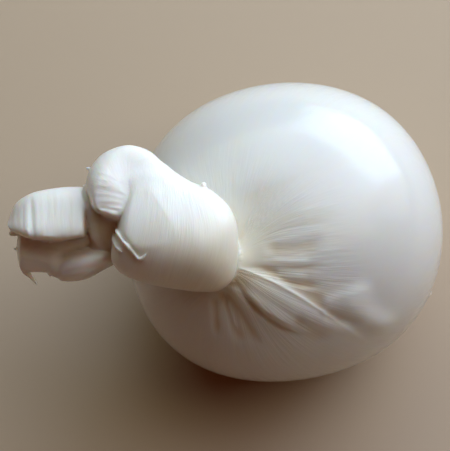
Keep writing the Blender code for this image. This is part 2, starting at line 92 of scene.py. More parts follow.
# Pleats of the skin on a flat map round the neck, where a distance is the angle from the neck times the
# skin's radius: distance and bearing of both ends, sideways bow, height, and width to the left and right
# of the line.
SKIN_RADIUS = 43.0
PLEATS = (
    (3.1, -3, 41.6, -36.5, 2.5, 0.42, 1.3, 6.5),
    (3.1, -5, 36.0, -33.5, 2.1, 0.20, 0.4, 0.5),
    (6.0, -41, 30.7, -39, 0.4, 0.46, 2.6, 3.7),
    (4.5, -100, 26.0, -46, 0.1, 1.16, 1.9, 3.0),
    (7.8, -67, 24.3, -52, -0.8, -0.49, 0.6, 1.4),
    (22.2, -41, 32.3, -40, -0.1, -0.17, 1.8, 1.8),
    (7.6, -3, 23.7, -14, -0.1, -0.20, 1.1, 0.8),
    (4.0, -94, 13.8, -63, 0.7, -0.53, 1.5, 1.3),
    (6.8, -107, 22.5, -77, 0.0, -0.63, 1.5, 2.5),
    (11.1, -121, 20.3, -106, 0.1, -0.44, 1.3, 1.3),
    (7.7, -116, 21.4, -88, -0.3, -0.61, 1.6, 2.2),
    (21.9, -45, 33.4, -44, -0.4, -0.29, 1.9, 2.6),
    (28.9, -30, 38.5, -30, -0.6, -0.52, 1.6, 1.7),
    (27.0, -26, 38.3, -13, 0.3, 0.69, 2.5, 4.6),
    (32.7, -21, 50.2, -29, -0.5, 0.99, 4.0, 4.5),
    (5.0, -7, 23.2, 0, -0.6, -0.23, 1.2, 2.1),
    (12.0, -13, 22.4, -16, -0.5, -0.28, 1.0, 0.7),
    (10.8, 11, 19.9, 4, 0.0, 0.19, 1.0, 1.7),
    (11.7, -11, 19.2, -10, -0.1, 0.38, 1.4, 1.5),
    (10.7, 27, 24.1, 17, -0.7, -0.31, 2.1, 3.4),
    (15.0, 72, 33.7, 39, -0.2, -0.08, 2.4, 2.5),
    (11.7, 59, 30.2, 29, -0.3, -0.13, 2.8, 3.0),
    (18.9, 90, 38.4, 53, -0.1, -0.13, 2.3, 2.5),
    (16.7, 84, 37.5, 46, 0.0, -0.10, 2.1, 2.9),
    (9.6, -114, 19.2, -97, 0.3, 0.08, 0.5, 0.6),
    (10.0, -100, 18.6, -90, -0.2, 0.26, 0.8, 0.7),
    (76.0, -23, 80.0, -22, 0.0, 0.90, 1.6, 1.6),
    (8.7, -35, 34.0, -35, 0.4, 0.52, 2.6, 4.2),
    (8.3, -57, 19.9, -48, 0.3, 0.33, 1.7, 1.8),
    (12.4, -52, 25.1, -46, 0.0, -0.14, 0.9, 1.0),
)

# A pleat begins the first share of its length before its near end, and is at full height the second share
# on. The other two shares do the same at its far end. A ridge narrower than the sharp width has a keener
# crest.
PLEAT_ENDS = (0.15, 0.3, 0.25, 0.5)
SHARP_WIDTH = 2.0
KEEN_CREST = 1.5
ROUND_CREST = 2.0

# Fine flutes round the neck: how many, height and turn. They start this far from the neck and fade out
# over the reach. Their strength round the neck swings by this much about its mean, and is least at the
# calm bearing.
FLUTES = ((9, 0.12, 20.0), (14, 0.12, 140.0), (23, 0.08, 70.0))
FLUTE_START = 4.0
FLUTE_REACH = 18.0
FLUTE_CALM = math.radians(-15.0)
FLUTE_MEAN = 0.45
FLUTE_SWING = 0.75

# Fibres to the right of the neck and above it run beside the skin's pull, as if from this far to the
# left. The pull is nothing at the first of these bearings and is full the second angle before it.
FIBRE_PULL = 51.0
FIBRE_TURN = (math.radians(82.0), math.radians(52.0))

# The knot lies in a plane that leans back by this from the level.
KNOT_LEAN = math.radians(22.0)

# Rims of the knot's two masses, which are the band that crosses over, and the lobe that comes out from
# under it at the pinch: right, upslope, out, and width of the rounded edge.
BAND_RIM = (
    (-34.5, 19.2, 41.3, 10.0),
    (-31.0, 16.3, 41.5, 10.5),
    (-26.6, 13.6, 42.0, 11.0),
    (-22.6, 12.1, 42.5, 11.0),
    (-18.8, 9.3, 43.0, 11.0),
    (-16.4, 6.6, 43.5, 11.0),
    (-14.7, 2.6, 43.5, 10.5),
    (-14.2, -2.0, 43.5, 10.5),
    (-14.2, -6.3, 43.2, 10.5),
    (-14.9, -10.6, 43.0, 10.5),
    (-16.4, -13.5, 42.5, 10.5),
    (-19.6, -15.6, 42.0, 10.5),
    (-24.8, -15.9, 41.5, 10.5),
    (-31.0, -15.2, 41.0, 10.5),
    (-37.5, -14.1, 41.0, 10.5),
    (-41.8, -12.9, 40.5, 10.5),
    (-45.9, -10.9, 40.3, 11.0),
    (-48.2, -7.9, 40.0, 9.0),
    (-48.4, -4.2, 39.5, 6.0),
    (-47.1, 0.7, 39.5, 3.8),
    (-46.3, 4.0, 39.5, 3.0),
    (-45.4, 7.6, 40.0, 3.0),
    (-44.5, 11.2, 42.5, 3.5),
    (-43.4, 15.0, 45.3, 5.0),
    (-41.4, 18.4, 44.8, 7.0),
    (-38.2, 20.2, 42.8, 9.0),
)
LOBE_RIM = (
    (-37.7, 21.9, 41.0, 9.0),
    (-42.3, 23.6, 41.0, 8.5),
    (-46.9, 23.1, 40.8, 7.5),
    (-51.3, 20.9, 40.3, 6.5),
    (-54.3, 17.1, 40.0, 5.5),
    (-55.3, 12.8, 39.6, 4.5),
    (-54.3, 9.0, 39.4, 2.6),
    (-53.3, 6.4, 39.3, 1.6),
    (-51.2, 4.9, 39.2, 1.3),
    (-48.6, 3.8, 39.0, 1.5),
    (-45.4, 3.0, 39.0, 3.0),
    (-41.4, 4.8, 39.0, 5.0),
    (-37.2, 9.6, 39.0, 7.0),
    (-35.0, 14.8, 39.5, 8.0),
    (-35.0, 18.8, 40.5, 9.0),
)

# Where the band's torn edge lies over the skin below, how the lobe dips under the band, and the lobe's
# small folds: right and upslope of both ends, sideways bow, height, and width to the left and to the
# right. The small folds end like pleats, but with shares of their own.
BAND_STEPS = ((-46.8, 1.4, -40.2, -7.0, 0.0, -1.1, 0.45, 4.5),)
LOBE_DIPS = ((-42.0, 18.5, -46.8, 2.5, 0.8, -1.1, 9.0, 3.4),)
LOBE_FOLDS = (
    (-42.9, 9.6, -53.4, 12.6, -0.9, 0.20, 0.6, 1.6),
    (-43.4, 8.6, -53.6, 10.2, -0.6, 0.10, 0.4, 0.8),
    (-44.0, 7.6, -53.6, 8.0, -0.5, 0.15, 0.5, 1.0),
    (-44.4, 6.4, -49.6, 6.2, -0.2, 0.20, 0.3, 0.4),
    (-45.4, 5.6, -52.6, 6.2, -0.5, -0.18, 0.35, 0.4),
    (-45.6, 4.6, -49.4, 4.4, -0.2, 0.32, 0.5, 0.5),
    (-49.8, 5.2, -53.0, 7.0, -0.2, 0.20, 0.4, 0.4),
    (-43.4, 11.6, -48.2, 19.4, -0.6, 0.07, 0.5, 1.0),
    (-43.2, 12.0, -52.4, 16.4, -0.7, 0.08, 0.5, 1.0),
    (-43.2, 10.8, -53.6, 14.6, -0.8, 0.06, 0.4, 0.8),
)
LOBE_ENDS = (-0.02, 0.3, 0.1, 0.5)

# Each mass has its rim, the middle that its surface is measured from, and the creases of its front with
# their ends. Its front and its back each have a depth without swells, the swells (right, upslope, their
# reach along both, height), the share that widens the rounding, and how square it is. One swell runs
# under both fronts.
SHARED_SWELL = (-31.0, -4.5, 34.0, 20.0, 11.0)
BAND = {
    "rim": BAND_RIM,
    "middle": (-31.0, 2.0),
    "creases": ((BAND_STEPS, PLEAT_ENDS),),
    "front": (43.0, (SHARED_SWELL,), 1.25, 2.3),
    "back": (33.0, ((-28.0, -1.0, 13.0, 13.0, -5.5),), 1.5, 2.1),
}
LOBE = {
    "rim": LOBE_RIM,
    "middle": (-46.0, 13.5),
    "creases": ((LOBE_DIPS, PLEAT_ENDS), (LOBE_FOLDS, LOBE_ENDS)),
    "front": (42.7, (SHARED_SWELL, (-50.5, 13.5, 8.0, 8.0, 1.8)), 1.15, 2.2),
    "back": (33.0, ((-47.0, 13.0, 9.0, 10.0, -4.5),), 1.5, 2.1),
}

# A place takes the rim's depth from the stretch of the rim that is nearest, give or take the blend. The
# smooth distance to the rim is a mean with this power over so many places on it, divided by the softness,
# and grows no more steeply than this. No gap is less than the least gap, so the mean is finite.
RIM_SAMPLES = 1200
RIM_BLEND = 1.5
RIM_SOFTNESS = 1.5
RIM_POWER = 6.0
RIM_STEEPNESS = 3.0
LEAST_GAP = 1e-6

# The torn lips on the band: right, upslope, height over its front, and half thickness.
TORN_LIP = (
    (-47.1, 1.6, 0.3, 0.45),
    (-46.0, -0.2, 0.7, 1.05),
    (-44.6, -2.1, 0.5, 0.8),
    (-43.4, -3.3, 0.65, 1.0),
    (-41.9, -5.0, 0.45, 0.85),
    (-40.5, -6.6, 0.45, 1.0),
    (-39.5, -6.6, 0.2, 0.75),
    (-38.4, -5.5, 0.0, 0.3),
)
SMALL_LIP = (
    (-47.7, 0.2, 0.1, 0.4),
    (-47.4, -1.8, 0.3, 1.0),
    (-46.5, -3.6, 0.5, 0.9),
    (-45.5, -4.6, 0.5, 0.7),
    (-44.8, -5.1, 0.4, 0.2),
)
# A lip is this much thinner across than it is high.
LIP_THINNESS = 0.55

# Folds of skin of the tail, each a table of the loops that it is drawn through: upper end and lower end
# (right and upslope of each), depth of the middle, swell to the front and to the back, and squareness.
TAIL_CORE = (
    (-47.0, 2.9, -47.0, -8.1, 34.0, 2.5, 4.0, 2.0),
    (-51.8, 7.3, -51.8, -10.7, 33.0, 4.4, 5.0, 2.0),
    (-57.4, 10.1, -57.4, -13.2, 33.0, 4.6, 4.0, 2.2),
    (-63.8, 10.7, -63.8, -12.6, 33.0, 4.8, 4.0, 2.4),
    (-67.1, 10.4, -67.1, -11.1, 33.0, 4.6, 3.6, 2.4),
    (-72.8, 7.9, -73.4, -10.7, 32.0, 4.2, 3.0, 2.4),
    (-74.2, 5.1, -74.8, -8.2, 32.0, 2.0, 2.5, 2.2),
    (-74.8, 1.8, -75.2, -4.9, 32.0, 1.2, 1.6, 2.0),
)
TAIL_SHEET = (
    (-55.1, 11.2, -55.4, -0.4, 35.5, 5.0, 3.0, 3.2),
    (-56.2, 12.4, -56.3, -1.2, 36.0, 7.0, 4.0, 4.2),
    (-62.8, 12.4, -62.8, -2.1, 36.0, 7.2, 4.5, 4.4),
    (-70.1, 11.1, -69.6, -1.8, 35.5, 6.8, 4.5, 4.0),
    (-74.4, 9.0, -73.7, -0.4, 35.0, 5.0, 4.5, 3.2),
    (-76.2, 7.0, -75.9, 0.6, 34.5, 3.0, 3.6, 2.6),
    (-77.1, 5.0, -76.9, 1.9, 34.0, 1.4, 2.0, 2.0),
)
TAIL_ROLL = (
    (-64.4, -9.3, -64.1, -12.1, 33.0, 1.5, 1.5, 2.0),
    (-62.5, -6.4, -62.2, -13.5, 33.0, 4.2, 3.0, 2.0),
    (-56.4, -4.6, -56.1, -12.9, 33.5, 6.6, 4.0, 2.0),
    (-50.2, -3.6, -49.9, -9.6, 34.0, 5.2, 3.5, 2.0),
    (-47.9, -4.6, -47.9, -8.4, 34.0, 2.0, 2.0, 2.0),
)

# How much nearer to the eye the sheet's lower edge lies than its upper one.
SHEET_LEAN = 7.0

# Creases of the tail's folds, as those of the knot.
SHEET_CREASES = (
    (-70.5, 9.4, -68.9, -1.8, 0.15, -0.32, 0.6, 1.0),
    (-70.9, 1.0, -70.0, -2.0, 0.1, 0.22, 0.5, 0.4),
    (-72.6, 7.6, -72.0, 1.0, 0.1, -0.09, 0.4, 0.5),
    (-74.2, 6.4, -73.8, 2.2, -0.1, -0.07, 0.4, 0.6),
    (-66.2, 10.6, -65.4, -1.0, 0.2, -0.05, 0.4, 0.5),
    (-63.6, 11.0, -63.0, 4.0, 0.3, 0.07, 0.5, 0.5),
    (-60.0, 11.4, -59.4, 0.0, 0.3, -0.05, 0.6, 0.6),
    (-56.4, -0.6, -61.0, -1.9, 0.0, 0.45, 0.6, 0.6),
    (-66.5, -1.0, -62.0, -1.6, 0.2, 0.30, 0.7, 0.7),
)
CORE_CREASES = (
    (-63.7, -7.2, -51.1, -2.6, 0.3, -1.4, 0.8, 0.8),
    (-73.0, -4.2, -62.0, -5.0, 0.6, -0.4, 0.8, 0.8),
    (-74.0, -6.8, -66.0, -8.2, 0.4, 0.35, 0.7, 0.7),
)
ROLL_CREASES = (
    (-62.0, -8.4, -52.0, -6.4, 0.8, 0.35, 1.2, 1.2),
    (-61.0, -11.2, -53.0, -9.4, 0.4, -0.25, 0.6, 0.6),
)

# Strands and shreds along a line: right, upslope, out and half thickness of each point.
UNDER_STRAND = (
    (-17.0, -5.0, 33.0, 6.0),
    (-21.5, 1.5, 35.0, 6.5),
    (-31.0, 8.0, 32.0, 6.5),
    (-41.0, 13.5, 30.0, 6.5),
    (-48.0, 13.0, 32.0, 5.5),
)
KNOT_CORE = (
    (-43.0, 9.0, 36.5, 5.0),
    (-46.8, 4.6, 36.6, 5.4),
    (-49.2, 1.2, 35.8, 5.5),
    (-50.6, -2.6, 33.9, 5.0),
    (-49.6, -6.4, 32.4, 4.0),
)
LOBE_STRIP = (
    (-54.6, 12.6, 38.3, 1.8),
    (-54.6, 9.4, 39.8, 2.0),
    (-53.7, 5.6, 39.2, 2.5),
    (-52.6, 2.2, 38.0, 3.0),
    (-51.4, -1.2, 36.8, 3.2),
    (-49.6, -4.6, 35.2, 3.0),
    (-46.6, -7.0, 34.0, 2.4),
)
SHEET_HEM = (
    (-65.4, -2.6, 39.5, 0.3),
    (-62.0, -1.9, 41.5, 0.45),
    (-59.0, -1.3, 41.8, 0.5),
    (-57.2, -0.6, 41.4, 0.55),
    (-56.4, 0.6, 40.6, 0.3),
)
SHREDS = (
    (
        (-73.6, -9.3, 32.0, 1.2),
        (-72.7, -11.0, 31.5, 0.9),
        (-71.6, -12.1, 31.0, 0.6),
        (-70.0, -14.3, 30.5, 0.25),
    ),
    ((-72.8, 1.2, 34.0, 1.9), (-75.2, 0.4, 33.8, 1.6), (-76.9, -0.4, 33.4, 0.6)),
    ((-74.0, -4.0, 32.5, 1.1), (-75.4, -4.6, 32.1, 0.5), (-75.9, -4.2, 31.9, 0.25)),
    ((-66.8, -10.0, 32.5, 1.0), (-66.0, -11.5, 32.1, 0.6), (-65.6, -12.1, 31.9, 0.3)),
    ((-24.0, 10.2, 43.6, 1.7), (-23.7, 12.2, 43.6, 1.3), (-23.2, 13.4, 43.4, 0.5)),
    ((-53.0, 16.6, 40.2, 1.0), (-54.4, 17.2, 40.1, 0.6), (-55.3, 17.4, 40.0, 0.25)),
)

# The kinds of fold, and how much painted amber shade each gets in its colour:
# most on the tail's core, in the shade of the sheet.
BALL, KNOT, LOBED, SHEET, CORE, ROLL, LIP = range(7)
AMBER_SHADE_SHARES = (0.0, 0.0, 0.0, 0.0, 1.0, 0.25, 0.1)

# The lobe's fibres fan out from this pinch, and are counted on a circle of this radius. The band's run
# beside the line through the pinch at this angle from upslope.
PINCH = (-43.6, 9.5)
PINCH_TURN = math.radians(12.0)
FAN_RADIUS = 9.0

# The band's fibres bow aside by this much at this reach up or down the slope from the bow's middle. The
# bow grows to the right from the first of the starts, over the second. Round the band the fibres are
# counted on an oval: middle upslope and out, half its size along both, and scale. Each kind of fold has
# its bundle shifted by this much from the one before.
BAND_BOW = 8.4
BOW_MIDDLE = -4.3
BOW_REACH = 16.4
BOW_START = (-44.0, 28.0)
BAND_OVAL = (-2.0, 41.0, 15.0, 13.0, 12.0)
BUNDLE_SHIFT = 100.0

# Edges up to this long are dissolved. Seams are rounded in this many rounds, and each moves a point up to
# this share of the way to its neighbours' mean.
SLIVER = 0.01 * MM
EASE_STEP = 0.6
SEAM_ROUNDS = 10

# Band and lobe run into each other over this width on either side of their seam, fully within this share
# of it. That is so where the front is further out than this, and it starts this far above the pinch and
# at this depth, each with the distance over which it grows.
MERGING_WIDTH = 5.0 * MM
MERGING_PLATEAU = 0.3
MERGING_ROUNDS = 120
MERGING_FRONT = 38.0
MERGING_RISE = (1.0, 5.0)
MERGING_DEPTH = (40.0, 3.0)

# How far other folds cover the skin is felt with rays of this reach, turned on by the golden angle, which
# start this many millimetres over the skin. Only points further left and further out than this are felt.
# Where other folds cover the skin, the curd's colour gets painted amber shade.
COVER_RAYS = 20
COVER_REACH = 14.0 * MM
COVER_START = 0.05
COVER_RIGHT = 4.0
COVER_OUT = 8.0
GOLDEN_ANGLE = 2.399963

# The fibre ridges fade out within this width of a seam. They start at the first of these heights above the
# table, and are full the second above it. The skin is creamy within this reach of the neck, and has painted
# shade, darker and warmer, below the first of the low heights, in full the second below it.
FREE_WIDTH = 1.5 * MM
FREE_HEIGHT = (0.2, 2.0)
CREAM_REACH = 15.0
LOW_SHADE_HEIGHT = (32.0, 26.0)

# How plainly the fibres show. On the ball it is the first share far from the neck, and the second is
# added within this angle of it. They fade near the neck on the calm side and between the pleats: bearings
# where the side begins and ends, each with the angle of its fade, and distances over which the fibres
# come back.
DRAWN_SHARES = (0.03, 0.97)
DRAWN_ANGLE = 1.15
CALM_SIDE = (-0.3, 0.3, 2.8, 0.4)
CALM_REACH = (5.0, 9.0)
PLEATED_SIDE = (-2.4, 0.3, -0.1, 0.3)
PLEATED_REACH = (14.0, 20.0)
PLEATED_FADE = 0.55
KNOT_DRAWN = 0.4
PINCH_REACH = (3.0, 8.0)

# How far below its surroundings the skin between pleats counts as a full hollow, over how many rounds
# these are evened out, and how far from the neck that is seen and how softly it ends.
# The hollows get painted amber shade in the curd's colour.
HOLLOW_DEPTH = 0.2
HOLLOW_ROUNDS = 110
HOLLOW_REACH = 38.0
HOLLOW_FADE = 14.0

SHARP_ANGLE = math.radians(60.0)

# The picture is 450 by 451 pixels, a pixel is this wide at the ball's centre, and the picture's middle is
# this far to the right of that centre and above it.
PICTURE_HEIGHT = 451.0
PIXEL = 0.299 * MM
PICTURE_MIDDLE = (-17.76 * MM, 1.93 * MM)
SENSOR_WIDTH = 36.0
CLIP_START = 0.01
LAMP_DISTANCE = 0.95
FLOOR_SIZE = 6.0
FLOOR_ROUGHNESS = 0.7


def linear(code):
    """Linear red, green and blue of an sRGB hex colour."""
    values = [int(code[i : i + 2], 16) / 255.0 for i in (1, 3, 5)]
    return tuple(v / 12.92 if v <= 0.04045 else ((v + 0.055) / 1.055) ** 2.4 for v in values)


def add_node(tree, kind, inputs=None, **settings):
    """Adds a node. An input takes a plain value, or the output that it is linked from."""
    node = tree.nodes.new(kind)
    for name, value in settings.items():
        setattr(node, name, value)
    for name, value in (inputs or {}).items():
        if isinstance(value, bpy.types.NodeSocket):
            tree.links.new(value, node.inputs[name])
        else:
            node.inputs[name].default_value = value
    return node


# --- The forms of the skin ---


def unit(vector):
    vector = np.asarray(vector, float)
    return vector / np.linalg.norm(vector)


def smooth_step(value):
    value = np.clip(value, 0.0, 1.0)
    return value * value * (3.0 - 2.0 * value)


def knot_axes():
    """Right, upslope and out of the slope that the knot lies on."""
    right = np.array([1.0, 0.0, 0.0])
    upslope = np.array([0.0, math.cos(KNOT_LEAN), math.sin(KNOT_LEAN)])
    return right, upslope, np.cross(right, upslope)


def from_knot_frame(points):
    """Points given as right, upslope and out from the ball's centre, in the part's frame."""
    right, upslope, out = knot_axes()
    return CENTRE + points[..., :1] * right + points[..., 1:2] * upslope + points[..., 2:] * out


def to_knot_frame(points):
    return (points - CENTRE) @ np.stack(knot_axes(), axis=-1)


def neck_axes():
    """The neck's direction, and two directions across it that the bearings of pleats are measured from."""
    flat = math.sin(NECK_TILT)
    neck = np.array([flat * math.cos(NECK_BEARING), flat * math.sin(NECK_BEARING), math.cos(NECK_TILT)])
    east = unit(np.array([1.0, 0.0, 0.0]) - neck[0] * neck)
    return neck, east, np.cross(neck, east)


def neck_place(points):
    """Angle from the neck, bearing round it, distance from its line, and place along it, of each point."""
    neck, east, north = neck_axes()
    from_centre = points - CENTRE
    along = from_centre @ neck
    away = np.linalg.norm(from_centre - along[:, None] * neck, axis=1)
    return np.arctan2(away, along), np.arctan2(from_centre @ north, from_centre @ east), away, along


def crease_relief(x, y, creases, ends=PLEAT_ENDS):
    """Height of creases and ridges at a place of a flat map, each from one end over its bow to the other."""
    relief = np.zeros_like(x)
    before, rise, after, fall = ends
    for x_a, y_a, x_b, y_b, bow, height, left_width, right_width in creases:
        length = math.hypot(x_b - x_a, y_b - y_a)
        along_x, along_y = (x_b - x_a) / length, (y_b - y_a) / length
        along = ((x - x_a) * along_x + (y - y_a) * along_y) / length
        across = (y - y_a) * along_x - (x - x_a) * along_y - bow * 4.0 * along * (1.0 - along)
        share = smooth_step((along + before) / rise) * smooth_step((1.0 - along + after) / fall)
        aside = np.abs(across) / np.where(across > 0.0, left_width, right_width)
        keen = height > 0.0 and min(left_width, right_width) < SHARP_WIDTH
        relief += height * share * np.exp(-(aside ** (KEEN_CREST if keen else ROUND_CREST)))
    return relief


def pleats_on_map():
    """The pleats with their ends as places of the flat map."""
    for near, near_bearing, far, far_bearing, *rest in PLEATS:
        a, b = math.radians(near_bearing), math.radians(far_bearing)
        yield near * math.cos(a), near * math.sin(a), far * math.cos(b), far * math.sin(b), *rest


def ball_radius(direction):
    """Distance from the centre to the smooth ball in each direction."""
    x, y, z = direction[..., 0], direction[..., 1], direction[..., 2]
    across = x * math.cos(OVAL_TURN) + y * math.sin(OVAL_TURN)
    along = y * math.cos(OVAL_TURN) - x * math.sin(OVAL_TURN)
    rise = z / np.where(z > 0.0, CROWN, BELLY)
    spread = np.abs(across / HALF_LONG) ** FULLNESS + np.abs(along / HALF_SHORT) ** FULLNESS
    radius = (spread + np.abs(rise) ** FULLNESS) ** (-1.0 / FULLNESS)
    right, upslope, out = knot_axes()
    angle = np.arctan2(direction @ upslope, direction @ right)
    rim = np.sqrt(np.clip(1.0 - (direction @ out) ** 2, 0.0, 1.0))
    for order, swell, phase in SHOULDERS:
        radius = radius + swell * rim**order * np.cos(order * (angle - math.radians(phase)))
    return radius


def settled(height):
    """Height above the table of skin that would be at this height if the ball didn't rest on it."""
    blend = (np.clip(height, -SETTLE, SETTLE) + SETTLE) ** 2 / (4.0 * SETTLE)
    return np.where(height > SETTLE, height, blend)


def ball_skin(polar, bearing):
    """Points of the ball's skin at an angle from the neck and a bearing round it."""
    neck, east, north = neck_axes()
    polar, bearing = polar[..., None], bearing[..., None]
    direction = np.cos(polar) * neck + np.sin(polar) * (np.cos(bearing) * east + np.sin(bearing) * north)
    polar, bearing = polar[..., 0], bearing[..., 0]
    flat = SKIN_RADIUS * polar
    reach = SKIN_RADIUS * np.sin(np.minimum(polar, math.pi / 2.0))
    relief = crease_relief(flat * np.cos(bearing), flat * np.sin(bearing), pleats_on_map())
    radius = ball_radius(direction) + relief
    fade = np.exp(-((flat / FLUTE_REACH) ** 2)) * smooth_step(flat / FLUTE_START - 1.0)
    fade = fade * smooth_step(FLUTE_MEAN - FLUTE_SWING * np.cos(bearing - FLUTE_CALM))
    for count, depth, phase in FLUTES:
        radius = radius + depth * fade * np.cos(count * bearing + math.radians(phase))
    points = direction * radius[..., None]
    drawn = np.exp(-reach / NECK_FLARE)[..., None]
    right, upslope, out = knot_axes()
    lean = NECK_LEAN[0] * right + NECK_LEAN[1] * upslope + NECK_LEAN[2] * out
    points = points + drawn * NECK_RISE * neck + drawn**2 * lean
    points[..., 2] = settled(points[..., 2] + GIRDLE_HEIGHT)
    return points


def resampled(rows, places):
    """Rows of a table read at fractional places between them, on a smooth curve through them."""
    rows = np.asarray(rows, float)
    low = np.clip(np.floor(places).astype(int), 0, len(rows) - 2)
    t = (places - low)[:, None]
    before, after = rows[np.maximum(low - 1, 0)], rows[np.minimum(low + 2, len(rows) - 1)]
    here, there = rows[low], rows[low + 1]
    leave, arrive = (there - before) / 2.0, (after - here) / 2.0
    return (
        (2 * t**3 - 3 * t**2 + 1) * here
        + (t**3 - 2 * t**2 + t) * leave
        + (3 * t**2 - 2 * t**3) * there
        + (t**3 - t**2) * arrive
    )


def rim_points(mass):
    """Closely spaced places on a rim: right and upslope of the middle, depth, and width of the rounding."""
    rows = mass["rim"]
    closed = rows[-2:] + rows + rows[:3]
    rim = resampled(closed, np.linspace(2.0, len(rows) + 2.0, RIM_SAMPLES, endpoint=False))
    return rim - np.array([*mass["middle"], 0.0, 0.0])


def rim_reach(rim, angle):
    """Distance of the rim from the middle in a direction of the knot's plane."""
    turns = np.arctan2(rim[:, 1], rim[:, 0])
    return np.interp(angle, turns, np.hypot(rim[:, 0], rim[:, 1]), period=2.0 * math.pi)


def mass_surface(mass, right, upslope, front):
    """Depth of the front or back of one of the knot's masses at a place within its rim."""
    edge = rim_points(mass)
    x, y = right - mass["middle"][0], upslope - mass["middle"][1]
    gaps = np.hypot(x[..., None] - edge[:, 0], y[..., None] - edge[:, 1])
    shares = np.exp((gaps.min(axis=-1, keepdims=True) - gaps) / RIM_BLEND)
    rim, rounding = np.moveaxis(shares @ edge[:, 2:] / shares.sum(axis=-1)[..., None], -1, 0)
    # A smooth distance has no crests in the middle, as the distance to the rim's nearest place would have.
    softened = (np.maximum(gaps, LEAST_GAP) / RIM_SOFTNESS) ** -RIM_POWER
    to_rim = np.mean(softened, axis=-1) ** (-1.0 / RIM_POWER)
    inside = rim_reach(edge, np.arctan2(y, x)) - np.hypot(x, y)
    to_rim = np.minimum(to_rim, RIM_STEEPNESS * np.maximum(inside, 0.0))
    depth, swells, wider, squareness = mass["front" if front else "back"]
    rounded = np.sqrt(1.0 - (1.0 - np.clip(to_rim / (rounding * wider), 0.0, 1.0)) ** squareness)
    for creases, ends in mass["creases"] if front else ():
        depth = depth + crease_relief(right, upslope, creases, ends)
    for swell_x, swell_y, reach_x, reach_y, height in swells:
        off_x, off_y = (right - swell_x) / reach_x, (upslope - swell_y) / reach_y
        depth = depth + height * np.exp(-(off_x**2) - off_y**2)
    return rim + (depth - rim) * rounded


def mass_rings(mass, columns, front_rows, back_rows):
    """Loops round one of the knot's masses from its front's middle to its back's, and those two middles."""
    angle = np.linspace(-math.pi, math.pi, columns, endpoint=False)
    reach = rim_reach(rim_points(mass), angle)
    rings = []
    for rows, front in ((front_rows, True), (back_rows, False)):
        shares = np.sin(np.linspace(0.0, math.pi / 2.0, rows + 1))[1:]
        for share in shares if front else shares[-2::-1]:
            right = mass["middle"][0] + share * reach * np.cos(angle)
            upslope = mass["middle"][1] + share * reach * np.sin(angle)
            rings.append(np.stack([right, upslope, mass_surface(mass, right, upslope, front)], axis=-1))
    middle = np.array([mass["middle"]])
    ends = []
    for front in (True, False):
        ends.append(np.append(middle[0], mass_surface(mass, middle[:, 0], middle[:, 1], front)))
    return from_knot_frame(np.array(rings)), from_knot_frame(np.array(ends))


def fold_rings(rows, creases, lean, loops, sides):
    """Loops round a fold of the tail, from its first row to its last."""
    places = np.linspace(0.0, len(rows) - 1.0, loops)[:, None]
    turns = np.linspace(0.0, 2.0 * math.pi, sides, endpoint=False)[None, :]
    places, turns = np.broadcast_arrays(places, turns)
    table = resampled(rows, places.ravel()).reshape(*places.shape, -1)
    power = 2.0 / table[..., 7]
    reach = (np.sign(np.cos(turns)) * np.abs(np.cos(turns)) ** power)[..., None]
    swell = np.sign(np.sin(turns)) * np.abs(np.sin(turns)) ** power
    upper, lower = table[..., 0:2], table[..., 2:4]
    flat = (upper + lower) / 2.0 + (upper - lower) / 2.0 * reach
    swelling = np.where(swell > 0.0, table[..., 5], table[..., 6]) * swell
    depth = table[..., 4] + swelling - lean / 2.0 * reach[..., 0]
    depth = depth + crease_relief(flat[..., 0], flat[..., 1], creases) * np.sqrt(np.clip(swell, 0.0, 1.0))
    return from_knot_frame(np.concatenate([flat, depth[..., None]], axis=-1))


def strand_rings(points, steps, sides, thinness):
    """Loops along a smooth line through points of the knot's frame, round or thinned across it to a blade."""
    table = resampled(points, np.linspace(0.0, len(points) - 1.0, steps))
    line = from_knot_frame(table[:, :3])
    ahead = np.gradient(line, axis=0)
    ahead /= np.linalg.norm(ahead, axis=1)[:, None]
    side = np.cross(ahead, knot_axes()[2])
    side /= np.linalg.norm(side, axis=1)[:, None]
    over = np.cross(side, ahead)
    turn = np.linspace(0.0, 2.0 * math.pi, sides, endpoint=False)[None, :, None]
    spoke = thinness * np.cos(turn) * side[:, None] + np.sin(turn) * over[:, None]
    return line[:, None] + spoke * table[:, 3][:, None, None]


def on_band(rows):
    """A strand whose heights are measured from the band's front."""
    right, upslope, height, thickness = np.array(rows).T
    return np.stack([right, upslope, mass_surface(BAND, right, upslope, True) + height, thickness], axis=-1)


def closed_solid(name, rings, ends, kind):
    """A closed mesh through rings, drawn together to a point at each end, with its faces outwards."""
    loops, sides = rings.shape[:2]
    points = np.concatenate([rings.reshape(-1, 3), ends])
    index = np.arange(loops * sides).reshape(loops, sides)
    after = np.roll(index, -1, axis=1)
    walls = np.stack([index[:-1], after[:-1], after[1:], index[1:]], axis=-1).reshape(-1, 4)
    first = np.stack([np.full(sides, loops * sides), after[0], index[0]], axis=-1)
    last = np.stack([np.full(sides, loops * sides + 1), index[-1], after[-1]], axis=-1)
    faces = np.concatenate([walls[:, [0, 1, 2]], walls[:, [0, 2, 3]], first, last])
    if np.linalg.det(points[faces]).sum() < 0.0:
        faces = faces[:, ::-1]
    mesh = bpy.data.meshes.new(name)
    mesh.from_pydata((points * MM).tolist(), [], faces.tolist())
    mesh.attributes.new("fold", "INT", "FACE").data.foreach_set("value", np.full(len(faces), kind, np.int32))
    return bpy.data.objects.new(name, mesh)


def capped(name, rings, kind):
    """A closed mesh through rings, each end of which is drawn together to its middle."""
    return closed_solid(name, rings, np.array([rings[0].mean(axis=0), rings[-1].mean(axis=0)]), kind)


def spread(start, end, count, focus, width, crowding):
    """Values from start to end that lie closer together round the focus."""
    fine = np.linspace(start, end, SPREAD_SAMPLES)
    share = np.cumsum(1.0 + crowding * np.exp(-(((fine - focus) / width) ** 2)))
    share = (share - share[0]) / (share[-1] - share[0])
    return np.interp(np.linspace(0.0, 1.0, count), share, fine)


